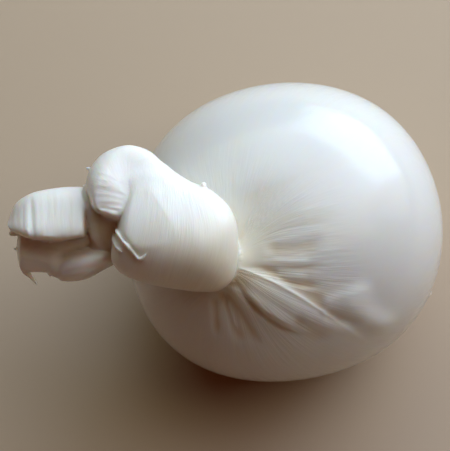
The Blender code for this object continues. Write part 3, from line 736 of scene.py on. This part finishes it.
def ball_solid(rows, columns):
    """The ball, with rows round the neck and columns out from it."""
    polar = spread(0.0, 180.0, rows + 2, *ROW_FOCUS)[1:-1]
    bearing = spread(-180.0, 180.0, columns + 1, *COLUMN_FOCUS)[:-1]
    rings = ball_skin(*np.meshgrid(np.radians(polar), np.radians(bearing), indexing="ij"))
    return closed_solid("ball", rings, ball_skin(np.array([0.0, math.pi]), np.zeros(2)), BALL)


def skin_solids(fineness):
    """Every fold of the skin as a closed solid. Fineness scales the numbers of loops and of points round."""

    def steps(count):
        return max(FEWEST_LOOPS, round(count * fineness))

    solids = [ball_solid(steps(140), steps(400))]
    # Name, table, points round it, loops on the front and on the back, and kind.
    for name, mass, columns, front_rows, back_rows, kind in (
        ("band", BAND, 200, 56, 18, KNOT),
        ("lobe", LOBE, 150, 44, 14, LOBED),
    ):
        rings, ends = mass_rings(mass, steps(columns), steps(front_rows), steps(back_rows))
        solids.append(closed_solid(name, rings, ends, kind))
    # Name, table, creases, lean, loops, points round each, and kind.
    for name, rows, creases, lean, loops, sides, kind in (
        ("tail_core", TAIL_CORE, CORE_CREASES, 0.0, 70, 90, CORE),
        ("tail_sheet", TAIL_SHEET, SHEET_CREASES, SHEET_LEAN, 120, 100, SHEET),
        ("tail_roll", TAIL_ROLL, ROLL_CREASES, 0.0, 50, 56, ROLL),
    ):
        rings = fold_rings(rows, creases, lean, steps(loops), steps(sides))
        solids.append(capped(name, rings, kind))
    # Name, table, loops, points round each, thinness across, and kind.
    strands = [
        ("under_strand", UNDER_STRAND, 40, 48, 1.0, KNOT),
        ("knot_core", KNOT_CORE, 30, 48, 1.0, CORE),
        ("lobe_strip", LOBE_STRIP, 50, 30, 1.0, ROLL),
        ("sheet_hem", SHEET_HEM, 40, 16, 1.0, LIP),
        ("torn_lip", on_band(TORN_LIP), 60, 20, LIP_THINNESS, LIP),
        ("small_lip", on_band(SMALL_LIP), 24, 16, LIP_THINNESS, LIP),
    ]
    strands += [(f"shred_{i}", shred, 16, 14, 1.0, LIP) for i, shred in enumerate(SHREDS)]
    for name, rows, loops, sides, thinness, kind in strands:
        rings = strand_rings(rows, steps(loops), steps(sides), thinness)
        solids.append(capped(name, rings, kind))
    return solids


# --- Joining the folds and reading the result ---


def joined(solids):
    """One closed mesh from solids that overlap."""
    scene = bpy.context.scene.collection
    first, *others = solids
    scene.objects.link(first)
    group = bpy.data.collections.new("folds")
    scene.children.link(group)
    for other in others:
        group.objects.link(other)
    union = first.modifiers.new("union", "BOOLEAN")
    union.operation = "UNION"
    union.operand_type = "COLLECTION"
    union.collection = group
    union.solver = "MANIFOLD"
    graph = bpy.context.evaluated_depsgraph_get()
    mesh = bpy.data.meshes.new_from_object(first.evaluated_get(graph))
    for solid in solids:
        bpy.data.objects.remove(solid, do_unlink=True)
    bpy.data.collections.remove(group)
    if not len(mesh.polygons):
        raise RuntimeError("the folds of the skin didn't join")
    return mesh


def largest_shell(mesh):
    """Leaves only the outer skin, with no slivers and no loose scraps."""
    shell = bmesh.new()
    shell.from_mesh(mesh)
    bmesh.ops.triangulate(shell, faces=shell.faces)
    bmesh.ops.dissolve_degenerate(shell, dist=SLIVER, edges=shell.edges)
    bmesh.ops.triangulate(shell, faces=shell.faces)
    waiting = set(shell.verts)
    shells = []
    while waiting:
        front = [waiting.pop()]
        found = set(front)
        while front:
            for edge in front.pop().link_edges:
                for vert in edge.verts:
                    if vert not in found:
                        found.add(vert)
                        front.append(vert)
        waiting -= found
        shells.append(found)
    shells.sort(key=len)
    bmesh.ops.delete(shell, geom=[vert for small in shells[:-1] for vert in small], context="VERTS")
    shell.to_mesh(mesh)
    shell.free()


def read(collection, name, width, kind=np.float32):
    """One value, or a row of values, of each item of a mesh."""
    values = np.empty(len(collection) * width, kind)
    collection.foreach_get(name, values)
    return values.reshape(-1, width) if width > 1 else values


def points_of(mesh):
    return read(mesh.vertices, "co", 3).astype(float)


def corner_folds(mesh):
    """The point that each face corner is at, and the fold that it belongs to."""
    totals = read(mesh.polygons, "loop_total", 1, np.int32)
    folds = np.repeat(read(mesh.attributes["fold"].data, "value", 1, np.int32), totals)
    return read(mesh.loops, "vertex_index", 1, np.int32), folds


def neighbour_mean(edges, values, count):
    """Mean of each point's neighbours, for values of any width."""
    total = np.zeros((count, values.shape[1]))
    links = np.zeros(count)
    for a, b in ((edges[:, 0], edges[:, 1]), (edges[:, 1], edges[:, 0])):
        for column in range(values.shape[1]):
            total[:, column] += np.bincount(a, values[b, column], count)
        links += np.bincount(a, minlength=count)
    return total / np.maximum(links, 1)[:, None]


def seam_points(mesh):
    """The lowest and the highest fold that meet at each point."""
    corners, folds = corner_folds(mesh)
    low = np.full(len(mesh.vertices), LIP)
    high = np.full(len(mesh.vertices), BALL)
    np.minimum.at(low, corners, folds)
    np.maximum.at(high, corners, folds)
    return low, high


def distance_to(points, targets):
    """Distance from each point to the nearest target."""
    tree = KDTree(len(targets))
    for i, target in enumerate(targets.tolist()):
        tree.insert(target, i)
    tree.balance()
    return np.array([tree.find(point)[2] for point in points.tolist()])


def relax(points, edges, share, rounds):
    """Moves each point by its share towards the mean of its neighbours, some rounds over."""
    for _ in range(rounds):
        points += share[:, None] * EASE_STEP * (neighbour_mean(edges, points, len(points)) - points)


def merging_share(points, low, high):
    """How fully each point takes part where the band and the lobe run into each other."""
    _, upslope, out = to_knot_frame(points / MM).T
    gap = distance_to(points, points[(low == KNOT) & (high == LOBED) & (out > MERGING_FRONT)])
    above = smooth_step((upslope - PINCH[1] - MERGING_RISE[0]) / MERGING_RISE[1])
    above = above * smooth_step((out - MERGING_DEPTH[0]) / MERGING_DEPTH[1])
    return above * np.clip(1.0 + MERGING_PLATEAU - gap / MERGING_WIDTH, 0.0, 1.0)


def ease_seams(mesh, width):
    """Rounds the seams where folds grow out of each other, and returns how far each point is from a seam."""
    points = points_of(mesh)
    edges = read(mesh.edges, "vertices", 2, np.int32)
    low, high = seam_points(mesh)
    gap = distance_to(points, points[low != high])
    relax(points, edges, np.clip(1.0 - gap / width, 0.0, 1.0), SEAM_ROUNDS)
    relax(points, edges, merging_share(points, low, high), MERGING_ROUNDS)
    mesh.vertices.foreach_set("co", points.astype(np.float32).ravel())
    mesh.update()
    return gap


def covered(mesh):
    """Share of the directions out of each point near the knot that meet the skin again close by."""
    points = points_of(mesh)
    normals = read(mesh.vertices, "normal", 3).astype(float)
    tree = BVHTree.FromPolygons(points.tolist(), [tuple(p.vertices) for p in mesh.polygons])
    right, _, out = to_knot_frame(points / MM).T
    turns = np.arange(COVER_RAYS) * GOLDEN_ANGLE
    lifts = np.sqrt((np.arange(COVER_RAYS) + 0.5) / COVER_RAYS)
    share = np.zeros(len(points))
    for i in np.flatnonzero((right < COVER_RIGHT) & (out > COVER_OUT)):
        normal = Vector(normals[i])
        side = normal.orthogonal().normalized()
        other = normal.cross(side)
        start = Vector(points[i]) + normal * COVER_START * MM
        hits = 0
        for t, r in zip(turns, lifts):
            ray = side * (r * math.cos(t)) + other * (r * math.sin(t)) + normal * math.sqrt(1.0 - r * r)
            hits += tree.ray_cast(start, ray, COVER_REACH)[0] is not None
        share[i] = hits / COVER_RAYS
    return share


def eased(mesh, values, rounds):
    """Values of the points, each evened out half and half with its neighbours', some rounds over."""
    edges = read(mesh.edges, "vertices", 2, np.int32)
    values = values[:, None]
    for _ in range(rounds):
        values = 0.5 * values + 0.5 * neighbour_mean(edges, values, len(values))
    return values[:, 0]


def ball_fibres(points):
    """The ball's fibres start at the neck, and bend with the skin's pull."""
    polar, bearing, _, _ = neck_place(points)
    pull = FIBRE_PULL * smooth_step((FIBRE_TURN[0] - bearing) / FIBRE_TURN[1]) * (bearing > 0.0)
    flat = SKIN_RADIUS * polar
    run = np.arctan2(flat * np.sin(bearing), flat * np.cos(bearing) + pull)
    return SKIN_RADIUS * np.stack([np.cos(run), np.sin(run), polar], axis=-1)


def band_fibres(right, upslope, out):
    """The band's fibres run side by side past the pinch, in rings about the band's middle."""
    x, y = right - PINCH[0], upslope - PINCH[1]
    aside = x * math.cos(PINCH_TURN) - y * math.sin(PINCH_TURN)
    ahead = x * math.sin(PINCH_TURN) + y * math.cos(PINCH_TURN)
    bow = BAND_BOW * ((upslope - BOW_MIDDLE) / BOW_REACH) ** 2
    bow = bow * smooth_step((right - BOW_START[0]) / BOW_START[1])
    middle_y, middle_out, half_y, half_out, scale = BAND_OVAL
    ring = scale * np.hypot((upslope - middle_y) / half_y, (out - middle_out) / half_out)
    return aside + bow, 0.7 * ring, ahead


def lobe_fibres(right, upslope, out):
    """The lobe's fibres fan out from the pinch."""
    x, y = right - PINCH[0], upslope - PINCH[1]
    return -FAN_RADIUS * (np.arctan2(-x, y) + PINCH_TURN), 0.3 * out, np.hypot(x, y)


def fibre_places(points, folds):
    """Where points of the skin, in millimetres, are across their bundle of fibres (twice) and along it."""
    right, upslope, out = to_knot_frame(points).T
    result = ball_fibres(points)
    # A share of another direction slants the fibres, and a share below one makes them broader.
    along_tail = (upslope - 0.3 * right, out, right)
    for kind, places in (
        (KNOT, band_fibres(right, upslope, out)),
        (LOBED, lobe_fibres(right, upslope, out)),
        (SHEET, (right + 0.12 * upslope, 0.15 * out, upslope)),
        (CORE, along_tail),
        (ROLL, along_tail),
        (LIP, (right + upslope, out, right - upslope)),
    ):
        here = folds == kind
        result[here] = np.stack(places, axis=-1)[here] + BUNDLE_SHIFT * kind
    return result


def name_fibres(mesh):
    """Writes each face corner's place among the fibres, in metres."""
    corners, folds = corner_folds(mesh)
    places = fibre_places(points_of(mesh)[corners] / MM, folds) * MM
    fibres = mesh.attributes.new("fibres", "FLOAT_VECTOR", "CORNER")
    fibres.data.foreach_set("vector", places.astype(np.float32).ravel())


def on_side(bearing, start, rise, end, fall):
    """One between two bearings, going over into nothing at each."""
    return smooth_step((bearing - start) / rise) * smooth_step((end - bearing) / fall)


def drawn_share(points, fold, polar, bearing):
    """How plainly the fibres show."""
    reach = SKIN_RADIUS * polar
    back_from_calm = smooth_step((reach - CALM_REACH[0]) / CALM_REACH[1])
    smooth = 1.0 - on_side(bearing, *CALM_SIDE) * (1.0 - back_from_calm)
    back_from_pleats = smooth_step((reach - PLEATED_REACH[0]) / PLEATED_REACH[1])
    smooth = smooth * (1.0 - PLEATED_FADE * on_side(bearing, *PLEATED_SIDE) * (1.0 - back_from_pleats))
    far, near = DRAWN_SHARES
    on_ball = (far + near * smooth_step(DRAWN_ANGLE - polar)) * smooth
    drawn = np.where(fold == BALL, on_ball, KNOT_DRAWN)
    right, upslope, _ = to_knot_frame(points).T
    from_pinch = np.hypot(right - PINCH[0], upslope - PINCH[1])
    pinched = smooth_step((from_pinch - PINCH_REACH[0]) / PINCH_REACH[1])
    return np.where(fold == LOBED, KNOT_DRAWN * pinched, drawn)


def hollow_share(mesh, fold, polar, bearing):
    """How far each point of the ball lies in a hollow between pleats."""
    reach = SKIN_RADIUS * polar
    relief = crease_relief(reach * np.cos(bearing), reach * np.sin(bearing), pleats_on_map())
    hollow = np.clip((eased(mesh, relief, HOLLOW_ROUNDS) - relief) / HOLLOW_DEPTH, 0.0, 1.0)
    return (fold == BALL) * hollow * smooth_step((HOLLOW_REACH - reach) / HOLLOW_FADE)


def name_shares(mesh, gap):
    """Writes at each point how much of each look it has, for the nodes to read."""
    points = points_of(mesh) / MM
    fold = seam_points(mesh)[0]
    polar, bearing, away, along = neck_place(points)
    height = points[:, 2]
    free = smooth_step(gap / FREE_WIDTH) * smooth_step((height - FREE_HEIGHT[0]) / FREE_HEIGHT[1])
    # Name, share at each point, and over how many rounds it is evened out.
    # The cover, amber shade, hollow and low shares carry painted shade into the curd's colour.
    for name, values, rounds in (
        ("free", free, 0),
        ("cover", covered(mesh), 4),
        ("amber_shade", np.array(AMBER_SHADE_SHARES)[fold], 6),
        ("cream", np.exp(-((away / CREAM_REACH) ** 2)) * (along > 0.0), 0),
        ("drawn", drawn_share(points, fold, polar, bearing), 3),
        ("dense", 1.0 * (fold != BALL), 12),
        ("low", smooth_step((LOW_SHADE_HEIGHT[0] - height) / LOW_SHADE_HEIGHT[1]), 0),
        ("hollow", hollow_share(mesh, fold, polar, bearing), 0),
    ):
        shares = eased(mesh, values, rounds).astype(np.float32)
        mesh.attributes.new(name, "FLOAT", "POINT").data.foreach_set("value", shares)


# --- Geometry Nodes ---


def fibre_tree(material):
    """Raises fine ridges and broad swells along the fibres out of the skin."""
    tree = bpy.data.node_groups.new("stretched_fibres", "GeometryNodeTree")
    tree.interface.new_socket("Geometry", in_out="INPUT", socket_type="NodeSocketGeometry")
    tree.interface.new_socket("Geometry", in_out="OUTPUT", socket_type="NodeSocketGeometry")
    for name in ("Ridge spacing", "Ridge height", "Swell spacing", "Swell height"):
        socket = tree.interface.new_socket(name, in_out="INPUT", socket_type="NodeSocketFloat")
        socket.subtype = "DISTANCE"
    tree.interface.new_socket("Stretch", in_out="INPUT", socket_type="NodeSocketFloat")
    tree.interface.new_socket("Seed", in_out="INPUT", socket_type="NodeSocketFloat")
    given = add_node(tree, "NodeGroupInput").outputs
    fibres = add_node(tree, "GeometryNodeInputNamedAttribute", {"Name": "fibres"}, data_type="FLOAT_VECTOR")
    free = add_node(tree, "GeometryNodeInputNamedAttribute", {"Name": "free"}, data_type="FLOAT")
    taut = add_node(tree, "GeometryNodeInputNamedAttribute", {"Name": "drawn"}, data_type="FLOAT")
    fade = add_node(tree, "ShaderNodeMath", {0: free.outputs[0], 1: taut.outputs[0]}, operation="MULTIPLY")
    squash = add_node(tree, "ShaderNodeMath", {0: 1.0, 1: given["Stretch"]}, operation="DIVIDE")
    shrink = add_node(tree, "ShaderNodeCombineXYZ", {"X": 1.0, "Y": 1.0, "Z": squash.outputs[0]})
    drawn = add_node(
        tree, "ShaderNodeVectorMath", {0: fibres.outputs[0], 1: shrink.outputs[0]}, operation="MULTIPLY"
    )
    heights = []
    for name, detail in (("Ridge", 1.0), ("Swell", 0.0)):
        rate = add_node(tree, "ShaderNodeMath", {0: 1.0, 1: given[f"{name} spacing"]}, operation="DIVIDE")
        noise = add_node(
            tree,
            "ShaderNodeTexNoise",
            {"Vector": drawn.outputs[0], "W": given["Seed"], "Scale": rate.outputs[0], "Detail": detail},
            noise_dimensions="4D",
        )
        # Noise goes from 0 to 1, so it is brought about 0 before it is scaled.
        centred = add_node(tree, "ShaderNodeMath", {0: noise.outputs["Fac"], 1: 0.5}, operation="SUBTRACT")
        scaled = {0: centred.outputs[0], 1: given[f"{name} height"]}
        heights.append(add_node(tree, "ShaderNodeMath", scaled, operation="MULTIPLY").outputs[0])
    total = add_node(tree, "ShaderNodeMath", {0: heights[0], 1: heights[1]}, operation="ADD")
    faded = add_node(tree, "ShaderNodeMath", {0: total.outputs[0], 1: fade.outputs[0]}, operation="MULTIPLY")
    normal = add_node(tree, "GeometryNodeInputNormal")
    offset = add_node(
        tree, "ShaderNodeVectorMath", {0: normal.outputs[0], "Scale": faded.outputs[0]}, operation="SCALE"
    )
    moved = add_node(
        tree, "GeometryNodeSetPosition", {"Geometry": given["Geometry"], "Offset": offset.outputs[0]}
    )
    whole = add_node(tree, "GeometryNodeRealizeInstances", {"Geometry": moved.outputs[0]})
    dressed = add_node(tree, "GeometryNodeSetMaterial", {"Geometry": whole.outputs[0], "Material": material})
    add_node(tree, "NodeGroupOutput", {"Geometry": dressed.outputs[0]})
    return tree


def grown(name, source, tree, inputs):
    """The result of a node tree on a mesh, as a plain mesh in an object of its own."""
    seed = bpy.data.objects.new(name, source)
    bpy.context.scene.collection.objects.link(seed)
    modifier = seed.modifiers.new(tree.name, "NODES")
    modifier.node_group = tree
    for socket in tree.interface.items_tree:
        if socket.in_out == "INPUT" and socket.name in inputs:
            modifier[socket.identifier] = inputs[socket.name]
    graph = bpy.context.evaluated_depsgraph_get()
    mesh = bpy.data.meshes.new_from_object(seed.evaluated_get(graph))
    seed.modifiers.remove(modifier)
    seed.data = mesh
    mesh.name = name
    bpy.data.meshes.remove(source)
    return seed


# --- Materials ---


def curd_material(finish):
    """Stretched curd: fat and water under a tight wet skin, so it is milky and glossy, with painted shade,
    warm and amber, in crevices, on the tail's core and near the table.
    """
    material = bpy.data.materials.new("stretched_curd")
    material.use_nodes = True
    tree = material.node_tree
    shader = tree.nodes["Principled BSDF"]
    fibres = add_node(tree, "ShaderNodeAttribute", attribute_name="fibres").outputs["Vector"]
    cover, amber_shade, cream, drawn, dense, low, hollow = (
        add_node(tree, "ShaderNodeAttribute", attribute_name=name).outputs["Fac"]
        for name in ("cover", "amber_shade", "cream", "drawn", "dense", "low", "hollow")
    )

    def streaks(spacing, stretch, detail):
        """Noise drawn out along the fibres, at a real spacing in metres."""
        scale = (1.0, 1.0, 1.0 / stretch)
        place = add_node(tree, "ShaderNodeMapping", {"Vector": fibres, "Scale": scale}, vector_type="POINT")
        return add_node(
            tree,
            "ShaderNodeTexNoise",
            {"Vector": place.outputs[0], "Scale": 1.0 / spacing, "Detail": detail, "Roughness": 0.6},
        ).outputs["Fac"]

    # Streaks 3 mm apart hold a little more or less whey, so the white drifts towards cream along them.
    drift = add_node(
        tree,
        "ShaderNodeMapRange",
        {"Value": streaks(3.0 * MM, 9.0, 2.0), "From Min": 0.4, "From Max": 0.7, "To Max": 0.22},
    ).outputs[0]
    creamy = add_node(
        tree, "ShaderNodeMath", {0: cream, 1: drift}, operation="ADD", use_clamp=True
    ).outputs[0]
    # Painted shade: amber is mixed into the colour on folds that lie in shade, most on the tail's core, and
    # where other folds cover the skin close by.
    crevice_shade = add_node(
        tree, "ShaderNodeMath", {0: amber_shade, 1: 0.45, 2: cover}, operation="MULTIPLY_ADD"
    ).outputs[0]
    depth = add_node(
        tree, "ShaderNodeMapRange", {"Value": crevice_shade, "From Min": 0.35, "From Max": 0.9, "To Max": 0.6}
    ).outputs[0]
    # Painted shade between the pleats: the hollows get a little of the amber too.
    warm = add_node(
        tree, "ShaderNodeMath", {0: hollow, 1: 0.42, 2: depth}, operation="MULTIPLY_ADD", use_clamp=True
    ).outputs[0]
    # The ball's skin, over its cream, is coloured greyer than the solid curd of the knot and the tail. A
    # Mix node has its colours at sockets 6 and 7, and gives output 2.
    colour = (*finish.skin_colour, 1.0)
    for share, second in (
        # Painted shade: darker and warmer near the table.
        (low, finish.painted_low_shade_colour),
        (dense, finish.curd_colour),
        (creamy, finish.cream_colour),
        # Painted shade: amber in crevices, in hollows between pleats and on the tail's core.
        (warm, finish.painted_shade_colour),
    ):
        mix = add_node(tree, "ShaderNodeMix", {0: share, 6: colour, 7: (*second, 1.0)}, data_type="RGBA")
        colour = mix.outputs[2]
    tree.links.new(colour, shader.inputs["Base Color"])

    # Fibres 0.5 mm and 1.2 mm apart, as fine as the picture shows them, roughen and crease the wet skin.
    fine = streaks(0.5 * MM, 16.0, 1.0)
    coarse = streaks(1.2 * MM, 12.0, 2.0)
    both = add_node(tree, "ShaderNodeMath", {0: coarse, 1: 2.5, 2: fine}, operation="MULTIPLY_ADD").outputs[0]
    faded = add_node(tree, "ShaderNodeMath", {0: both, 1: drawn}, operation="MULTIPLY").outputs[0]
    creases = {"Height": faded, "Distance": finish.fibre_relief, "Strength": 1.0}
    tree.links.new(add_node(tree, "ShaderNodeBump", creases).outputs[0], shader.inputs["Normal"])
    gloss = {
        "Value": coarse,
        "From Min": 0.35,
        "From Max": 0.7,
        "To Min": finish.roughness - 0.015,
        "To Max": finish.roughness + 0.03,
    }
    tree.links.new(add_node(tree, "ShaderNodeMapRange", gloss).outputs[0], shader.inputs["Roughness"])
    # The knot's curd is drier than the ball's skin, so it shows a softer sheen.
    sheen = add_node(tree, "ShaderNodeMapRange", {"Value": dense, "To Min": 0.06, "To Max": 0.3}).outputs[0]
    tree.links.new(sheen, shader.inputs["Coat Roughness"])
    # The film of whey lies in ripples 2.5 mm apart, which break up the edges of bright reflections.
    ripples = {"Height": streaks(2.5 * MM, 3.0, 3.0), "Distance": finish.film_relief, "Strength": 1.0}
    tree.links.new(add_node(tree, "ShaderNodeBump", ripples).outputs[0], shader.inputs["Coat Normal"])
    # Red light goes furthest in the curd, and the film of whey over it is nearly water.
    for name, value in (
        ("IOR", 1.42),
        ("Subsurface Weight", 0.7),
        ("Subsurface Radius", (1.0, 0.62, 0.38)),
        ("Subsurface Scale", finish.glow_depth),
        ("Coat Weight", 0.8),
        ("Coat IOR", 1.36),
    ):
        shader.inputs[name].default_value = value
    return material


def floor_material(colour):
    """A matt floor: it throws soft light up at the curd, and shows no reflection of its own."""
    material = bpy.data.materials.new("matt_floor")
    material.use_nodes = True
    shader = material.node_tree.nodes["Principled BSDF"]
    shader.inputs["Base Color"].default_value = (*colour, 1.0)
    shader.inputs["Roughness"].default_value = FLOOR_ROUGHNESS
    return material


# --- Settings ---


class SkinSettings(bpy.types.PropertyGroup):
    """Sizes of the skin's relief."""

    fineness: bpy.props.FloatProperty(
        name="Fineness", description="Scales how many points the folds have", default=1.0, min=0.2, max=1.2
    )
    seam_width: bpy.props.FloatProperty(
        name="Seam rounding",
        description="Width over which one fold runs into the next",
        default=1.0 * MM,
        unit="LENGTH",
    )
    ridge_spacing: bpy.props.FloatProperty(
        name="Ridge spacing", description="Distance between fibre ridges", default=1.2 * MM, unit="LENGTH"
    )
    ridge_height: bpy.props.FloatProperty(
        name="Ridge height", description="Height of the fibre ridges", default=0.17 * MM, unit="LENGTH"
    )
    swell_spacing: bpy.props.FloatProperty(
        name="Swell spacing", description="Distance between broad swells", default=6.0 * MM, unit="LENGTH"
    )
    swell_height: bpy.props.FloatProperty(
        name="Swell height", description="Height of the broad swells", default=0.3 * MM, unit="LENGTH"
    )
    stretch: bpy.props.FloatProperty(
        name="Stretch", description="How many times longer a ridge is than it is wide", default=9.0
    )
    seed: bpy.props.FloatProperty(name="Seed", description="Fixes the pattern of the ridges", default=3.0)


class FinishSettings(bpy.types.PropertyGroup):
    """Colours and gloss of the curd."""

    curd_colour: bpy.props.FloatVectorProperty(
        name="Curd", description="Milky white of the solid curd", subtype="COLOR", default=linear("#f4f5f2")
    )
    skin_colour: bpy.props.FloatVectorProperty(
        name="Skin",
        description="White of the skin over the cream",
        subtype="COLOR",
        default=linear("#e0e1df"),
    )
    # Painted shade: the skin near the table is coloured darker and warmer, for the shade that falls there.
    painted_low_shade_colour: bpy.props.FloatVectorProperty(
        name="Low skin",
        description="Skin near the table, warm with whey",
        subtype="COLOR",
        default=linear("#cdb5a6"),
    )
    cream_colour: bpy.props.FloatVectorProperty(
        name="Cream", description="Cream tone near the neck", subtype="COLOR", default=linear("#e4dfcd")
    )
    # Painted shade: the amber mixed in where shade falls between folds.
    painted_shade_colour: bpy.props.FloatVectorProperty(
        name="Amber", description="Tone deep between folds", subtype="COLOR", default=linear("#d0b072")
    )
    roughness: bpy.props.FloatProperty(
        name="Roughness", description="Roughness of the wet skin", default=0.3, min=0.05, max=1.0
    )
    film_relief: bpy.props.FloatProperty(
        name="Film relief",
        description="Height of the ripples in the film of whey",
        default=0.2 * MM,
        unit="LENGTH",
    )
    fibre_relief: bpy.props.FloatProperty(
        name="Fibre relief", description="Depth of the finest fibres", default=0.07 * MM, unit="LENGTH"
    )
    glow_depth: bpy.props.FloatProperty(
        name="Glow depth", description="How far light travels in the curd", default=2.4 * MM, unit="LENGTH"
    )


class StudioSettings(bpy.types.PropertyGroup):
    """Floor, lights and camera."""

    floor_colour: bpy.props.FloatVectorProperty(
        name="Floor", description="Pale floor", subtype="COLOR", default=linear("#b8a48c")
    )
    window_power: bpy.props.FloatProperty(
        name="Window", description="Power of the low window, in watts", default=4.9
    )
    door_power: bpy.props.FloatProperty(
        name="Doorway", description="Power of the warmer light beside the window, in watts", default=2.4
    )
    soft_power: bpy.props.FloatProperty(
        name="Softbox", description="Power of the soft light above the window, in watts", default=3.3
    )
    ceiling_power: bpy.props.FloatProperty(
        name="Ceiling", description="Power of the warm light overhead, in watts", default=2.9
    )
    side_power: bpy.props.FloatProperty(
        name="Side light", description="Power of the light at the back, in watts", default=2.15
    )
    room_colour: bpy.props.FloatVectorProperty(
        name="Room colour", description="Colour of the dim room", subtype="COLOR", default=linear("#ff7c3c")
    )
    world_strength: bpy.props.FloatProperty(name="Room", description="Strength of the dim room", default=0.06)
    camera_distance: bpy.props.FloatProperty(
        name="Camera distance", description="From the ball's centre", default=0.42, unit="LENGTH"
    )
    camera_tilt: bpy.props.FloatProperty(
        name="Camera tilt", description="Angle down from level", default=math.radians(68.0), subtype="ANGLE"
    )


# --- Operators ---


class BurrataSkin(bpy.types.Operator):
    """Builds the ball, the knot and the tail as one skin of stretched curd"""

    bl_idname = "burrata.skin"
    bl_label = "Curd skin"

    def execute(self, context):
        skin = context.scene.burrata_skin
        mesh = joined(skin_solids(skin.fineness))
        largest_shell(mesh)
        gap = ease_seams(mesh, skin.seam_width)
        name_fibres(mesh)
        name_shares(mesh, gap)
        mesh.attributes.remove(mesh.attributes["fold"])
        mesh.polygons.foreach_set("use_smooth", np.ones(len(mesh.polygons), bool))
        mesh.set_sharp_from_angle(angle=SHARP_ANGLE)
        inputs = {
            "Ridge spacing": skin.ridge_spacing,
            "Ridge height": skin.ridge_height,
            "Swell spacing": skin.swell_spacing,
            "Swell height": skin.swell_height,
            "Stretch": skin.stretch,
            "Seed": skin.seed,
        }
        material = curd_material(context.scene.burrata_finish)
        piece = grown("curd_skin", mesh, fibre_tree(material), inputs)
        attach(piece, "root")
        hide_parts("burrata")
        return {"FINISHED"}


def looking_along(direction, up):
    """Turn of a camera or light that looks along a direction."""
    back = -Vector(direction).normalized()
    right = Vector(up).cross(back).normalized()
    return Matrix((right, back.cross(right), back)).transposed().to_euler()


def add_lamp(centre, name, bearing, rise, width, height, power, colour):
    """Adds a soft light that faces the ball."""
    light = bpy.data.lights.new(name, "AREA")
    light.shape = "RECTANGLE"
    light.size = width
    light.size_y = height
    light.energy = power
    light.color = colour
    lamp = bpy.data.objects.new(name, light)
    turn, lift = math.radians(bearing), math.radians(rise)
    direction = Vector((math.cos(lift) * math.cos(turn), math.cos(lift) * math.sin(turn), math.sin(lift)))
    lamp.location = centre + direction * LAMP_DISTANCE
    lamp.rotation_euler = looking_along(centre - lamp.location, (0.0, 0.0, 1.0))
    bpy.context.scene.collection.objects.link(lamp)


def set_room(scene, studio):
    """The dim room round the burrata, which shows in its shaded side."""
    world = bpy.data.worlds.new("dim_room")
    world.use_nodes = True
    background = world.node_tree.nodes["Background"]
    background.inputs["Color"].default_value = (*studio.room_colour, 1.0)
    background.inputs["Strength"].default_value = studio.world_strength
    scene.world = world
    scene.view_settings.view_transform = "Standard"


def set_camera(scene, studio, centre):
    """The camera stands in front of the burrata and looks down at it."""
    right = Vector((1.0, 0.0, 0.0))
    up = Vector((0.0, math.sin(studio.camera_tilt), math.cos(studio.camera_tilt)))
    back = right.cross(up)
    data = bpy.data.cameras.new("camera")
    data.sensor_width = SENSOR_WIDTH
    data.lens = studio.camera_distance / PIXEL * SENSOR_WIDTH / PICTURE_HEIGHT
    data.clip_start = CLIP_START
    camera = bpy.data.objects.new("camera", data)
    aim = centre + PICTURE_MIDDLE[0] * right + PICTURE_MIDDLE[1] * up
    camera.location = aim + studio.camera_distance * back
    camera.rotation_euler = looking_along(-back, up)
    scene.collection.objects.link(camera)
    scene.camera = camera


class BurrataStudio(bpy.types.Operator):
    """Sets the floor, the lights and the camera"""

    bl_idname = "burrata.studio"
    bl_label = "Studio"

    def execute(self, context):
        scene = context.scene
        studio = scene.burrata_studio
        bpy.ops.mesh.primitive_plane_add(size=FLOOR_SIZE, location=(0.0, 0.0, 0.0))
        floor = context.active_object
        floor.name = "floor"
        floor.data.materials.append(floor_material(studio.floor_colour))
        centre = Vector((0.0, 0.0, GIRDLE_HEIGHT * MM))
        # Name, bearing from +X and height in degrees, width and height in metres, power and colour.
        for lamp in (
            ("window", 55.0, 22.0, 0.9, 0.55, studio.window_power, (0.7, 1.0, 1.24)),
            ("doorway", 42.0, 22.0, 1.2, 0.6, studio.door_power, (1.13, 0.99, 0.88)),
            ("softbox", 58.0, 50.0, 1.2, 0.9, studio.soft_power, (0.67, 0.84, 1.45)),
            ("ceiling", 22.0, 58.0, 0.9, 0.7, studio.ceiling_power, (1.1, 1.08, 0.84)),
            ("side", 112.0, 45.0, 0.8, 0.6, studio.side_power, (0.95, 1.12, 0.9)),
        ):
            add_lamp(centre, *lamp)
        set_room(scene, studio)
        set_camera(scene, studio, centre)
        return {"FINISHED"}


class BurrataPanel(bpy.types.Panel):
    """Lists the pieces and their sizes"""

    bl_idname = "VIEW3D_PT_burrata"
    bl_label = "Burrata"
    bl_space_type = "VIEW_3D"
    bl_region_type = "UI"
    bl_category = "Burrata"

    def draw(self, context):
        for title, settings, operators in (
            ("Skin", context.scene.burrata_skin, (BurrataSkin,)),
            ("Finish", context.scene.burrata_finish, ()),
            ("Studio", context.scene.burrata_studio, (BurrataStudio,)),
        ):
            box = self.layout.box()
            box.label(text=title)
            for name in settings.bl_rna.properties.keys():
                if name not in ("rna_type", "name"):
                    box.prop(settings, name)
            for operator in operators:
                box.operator(operator.bl_idname)


CLASSES = (SkinSettings, FinishSettings, StudioSettings, BurrataSkin, BurrataStudio, BurrataPanel)


def register():
    for kind in CLASSES:
        bpy.utils.register_class(kind)
    bpy.types.Scene.burrata_skin = bpy.props.PointerProperty(type=SkinSettings)
    bpy.types.Scene.burrata_finish = bpy.props.PointerProperty(type=FinishSettings)
    bpy.types.Scene.burrata_studio = bpy.props.PointerProperty(type=StudioSettings)


def unregister():
    del bpy.types.Scene.burrata_skin
    del bpy.types.Scene.burrata_finish
    del bpy.types.Scene.burrata_studio
    for kind in reversed(CLASSES):
        bpy.utils.unregister_class(kind)


def main():
    register()
    bpy.ops.burrata.studio()
    bpy.ops.burrata.skin()


if __name__ == "__main__":
    main()
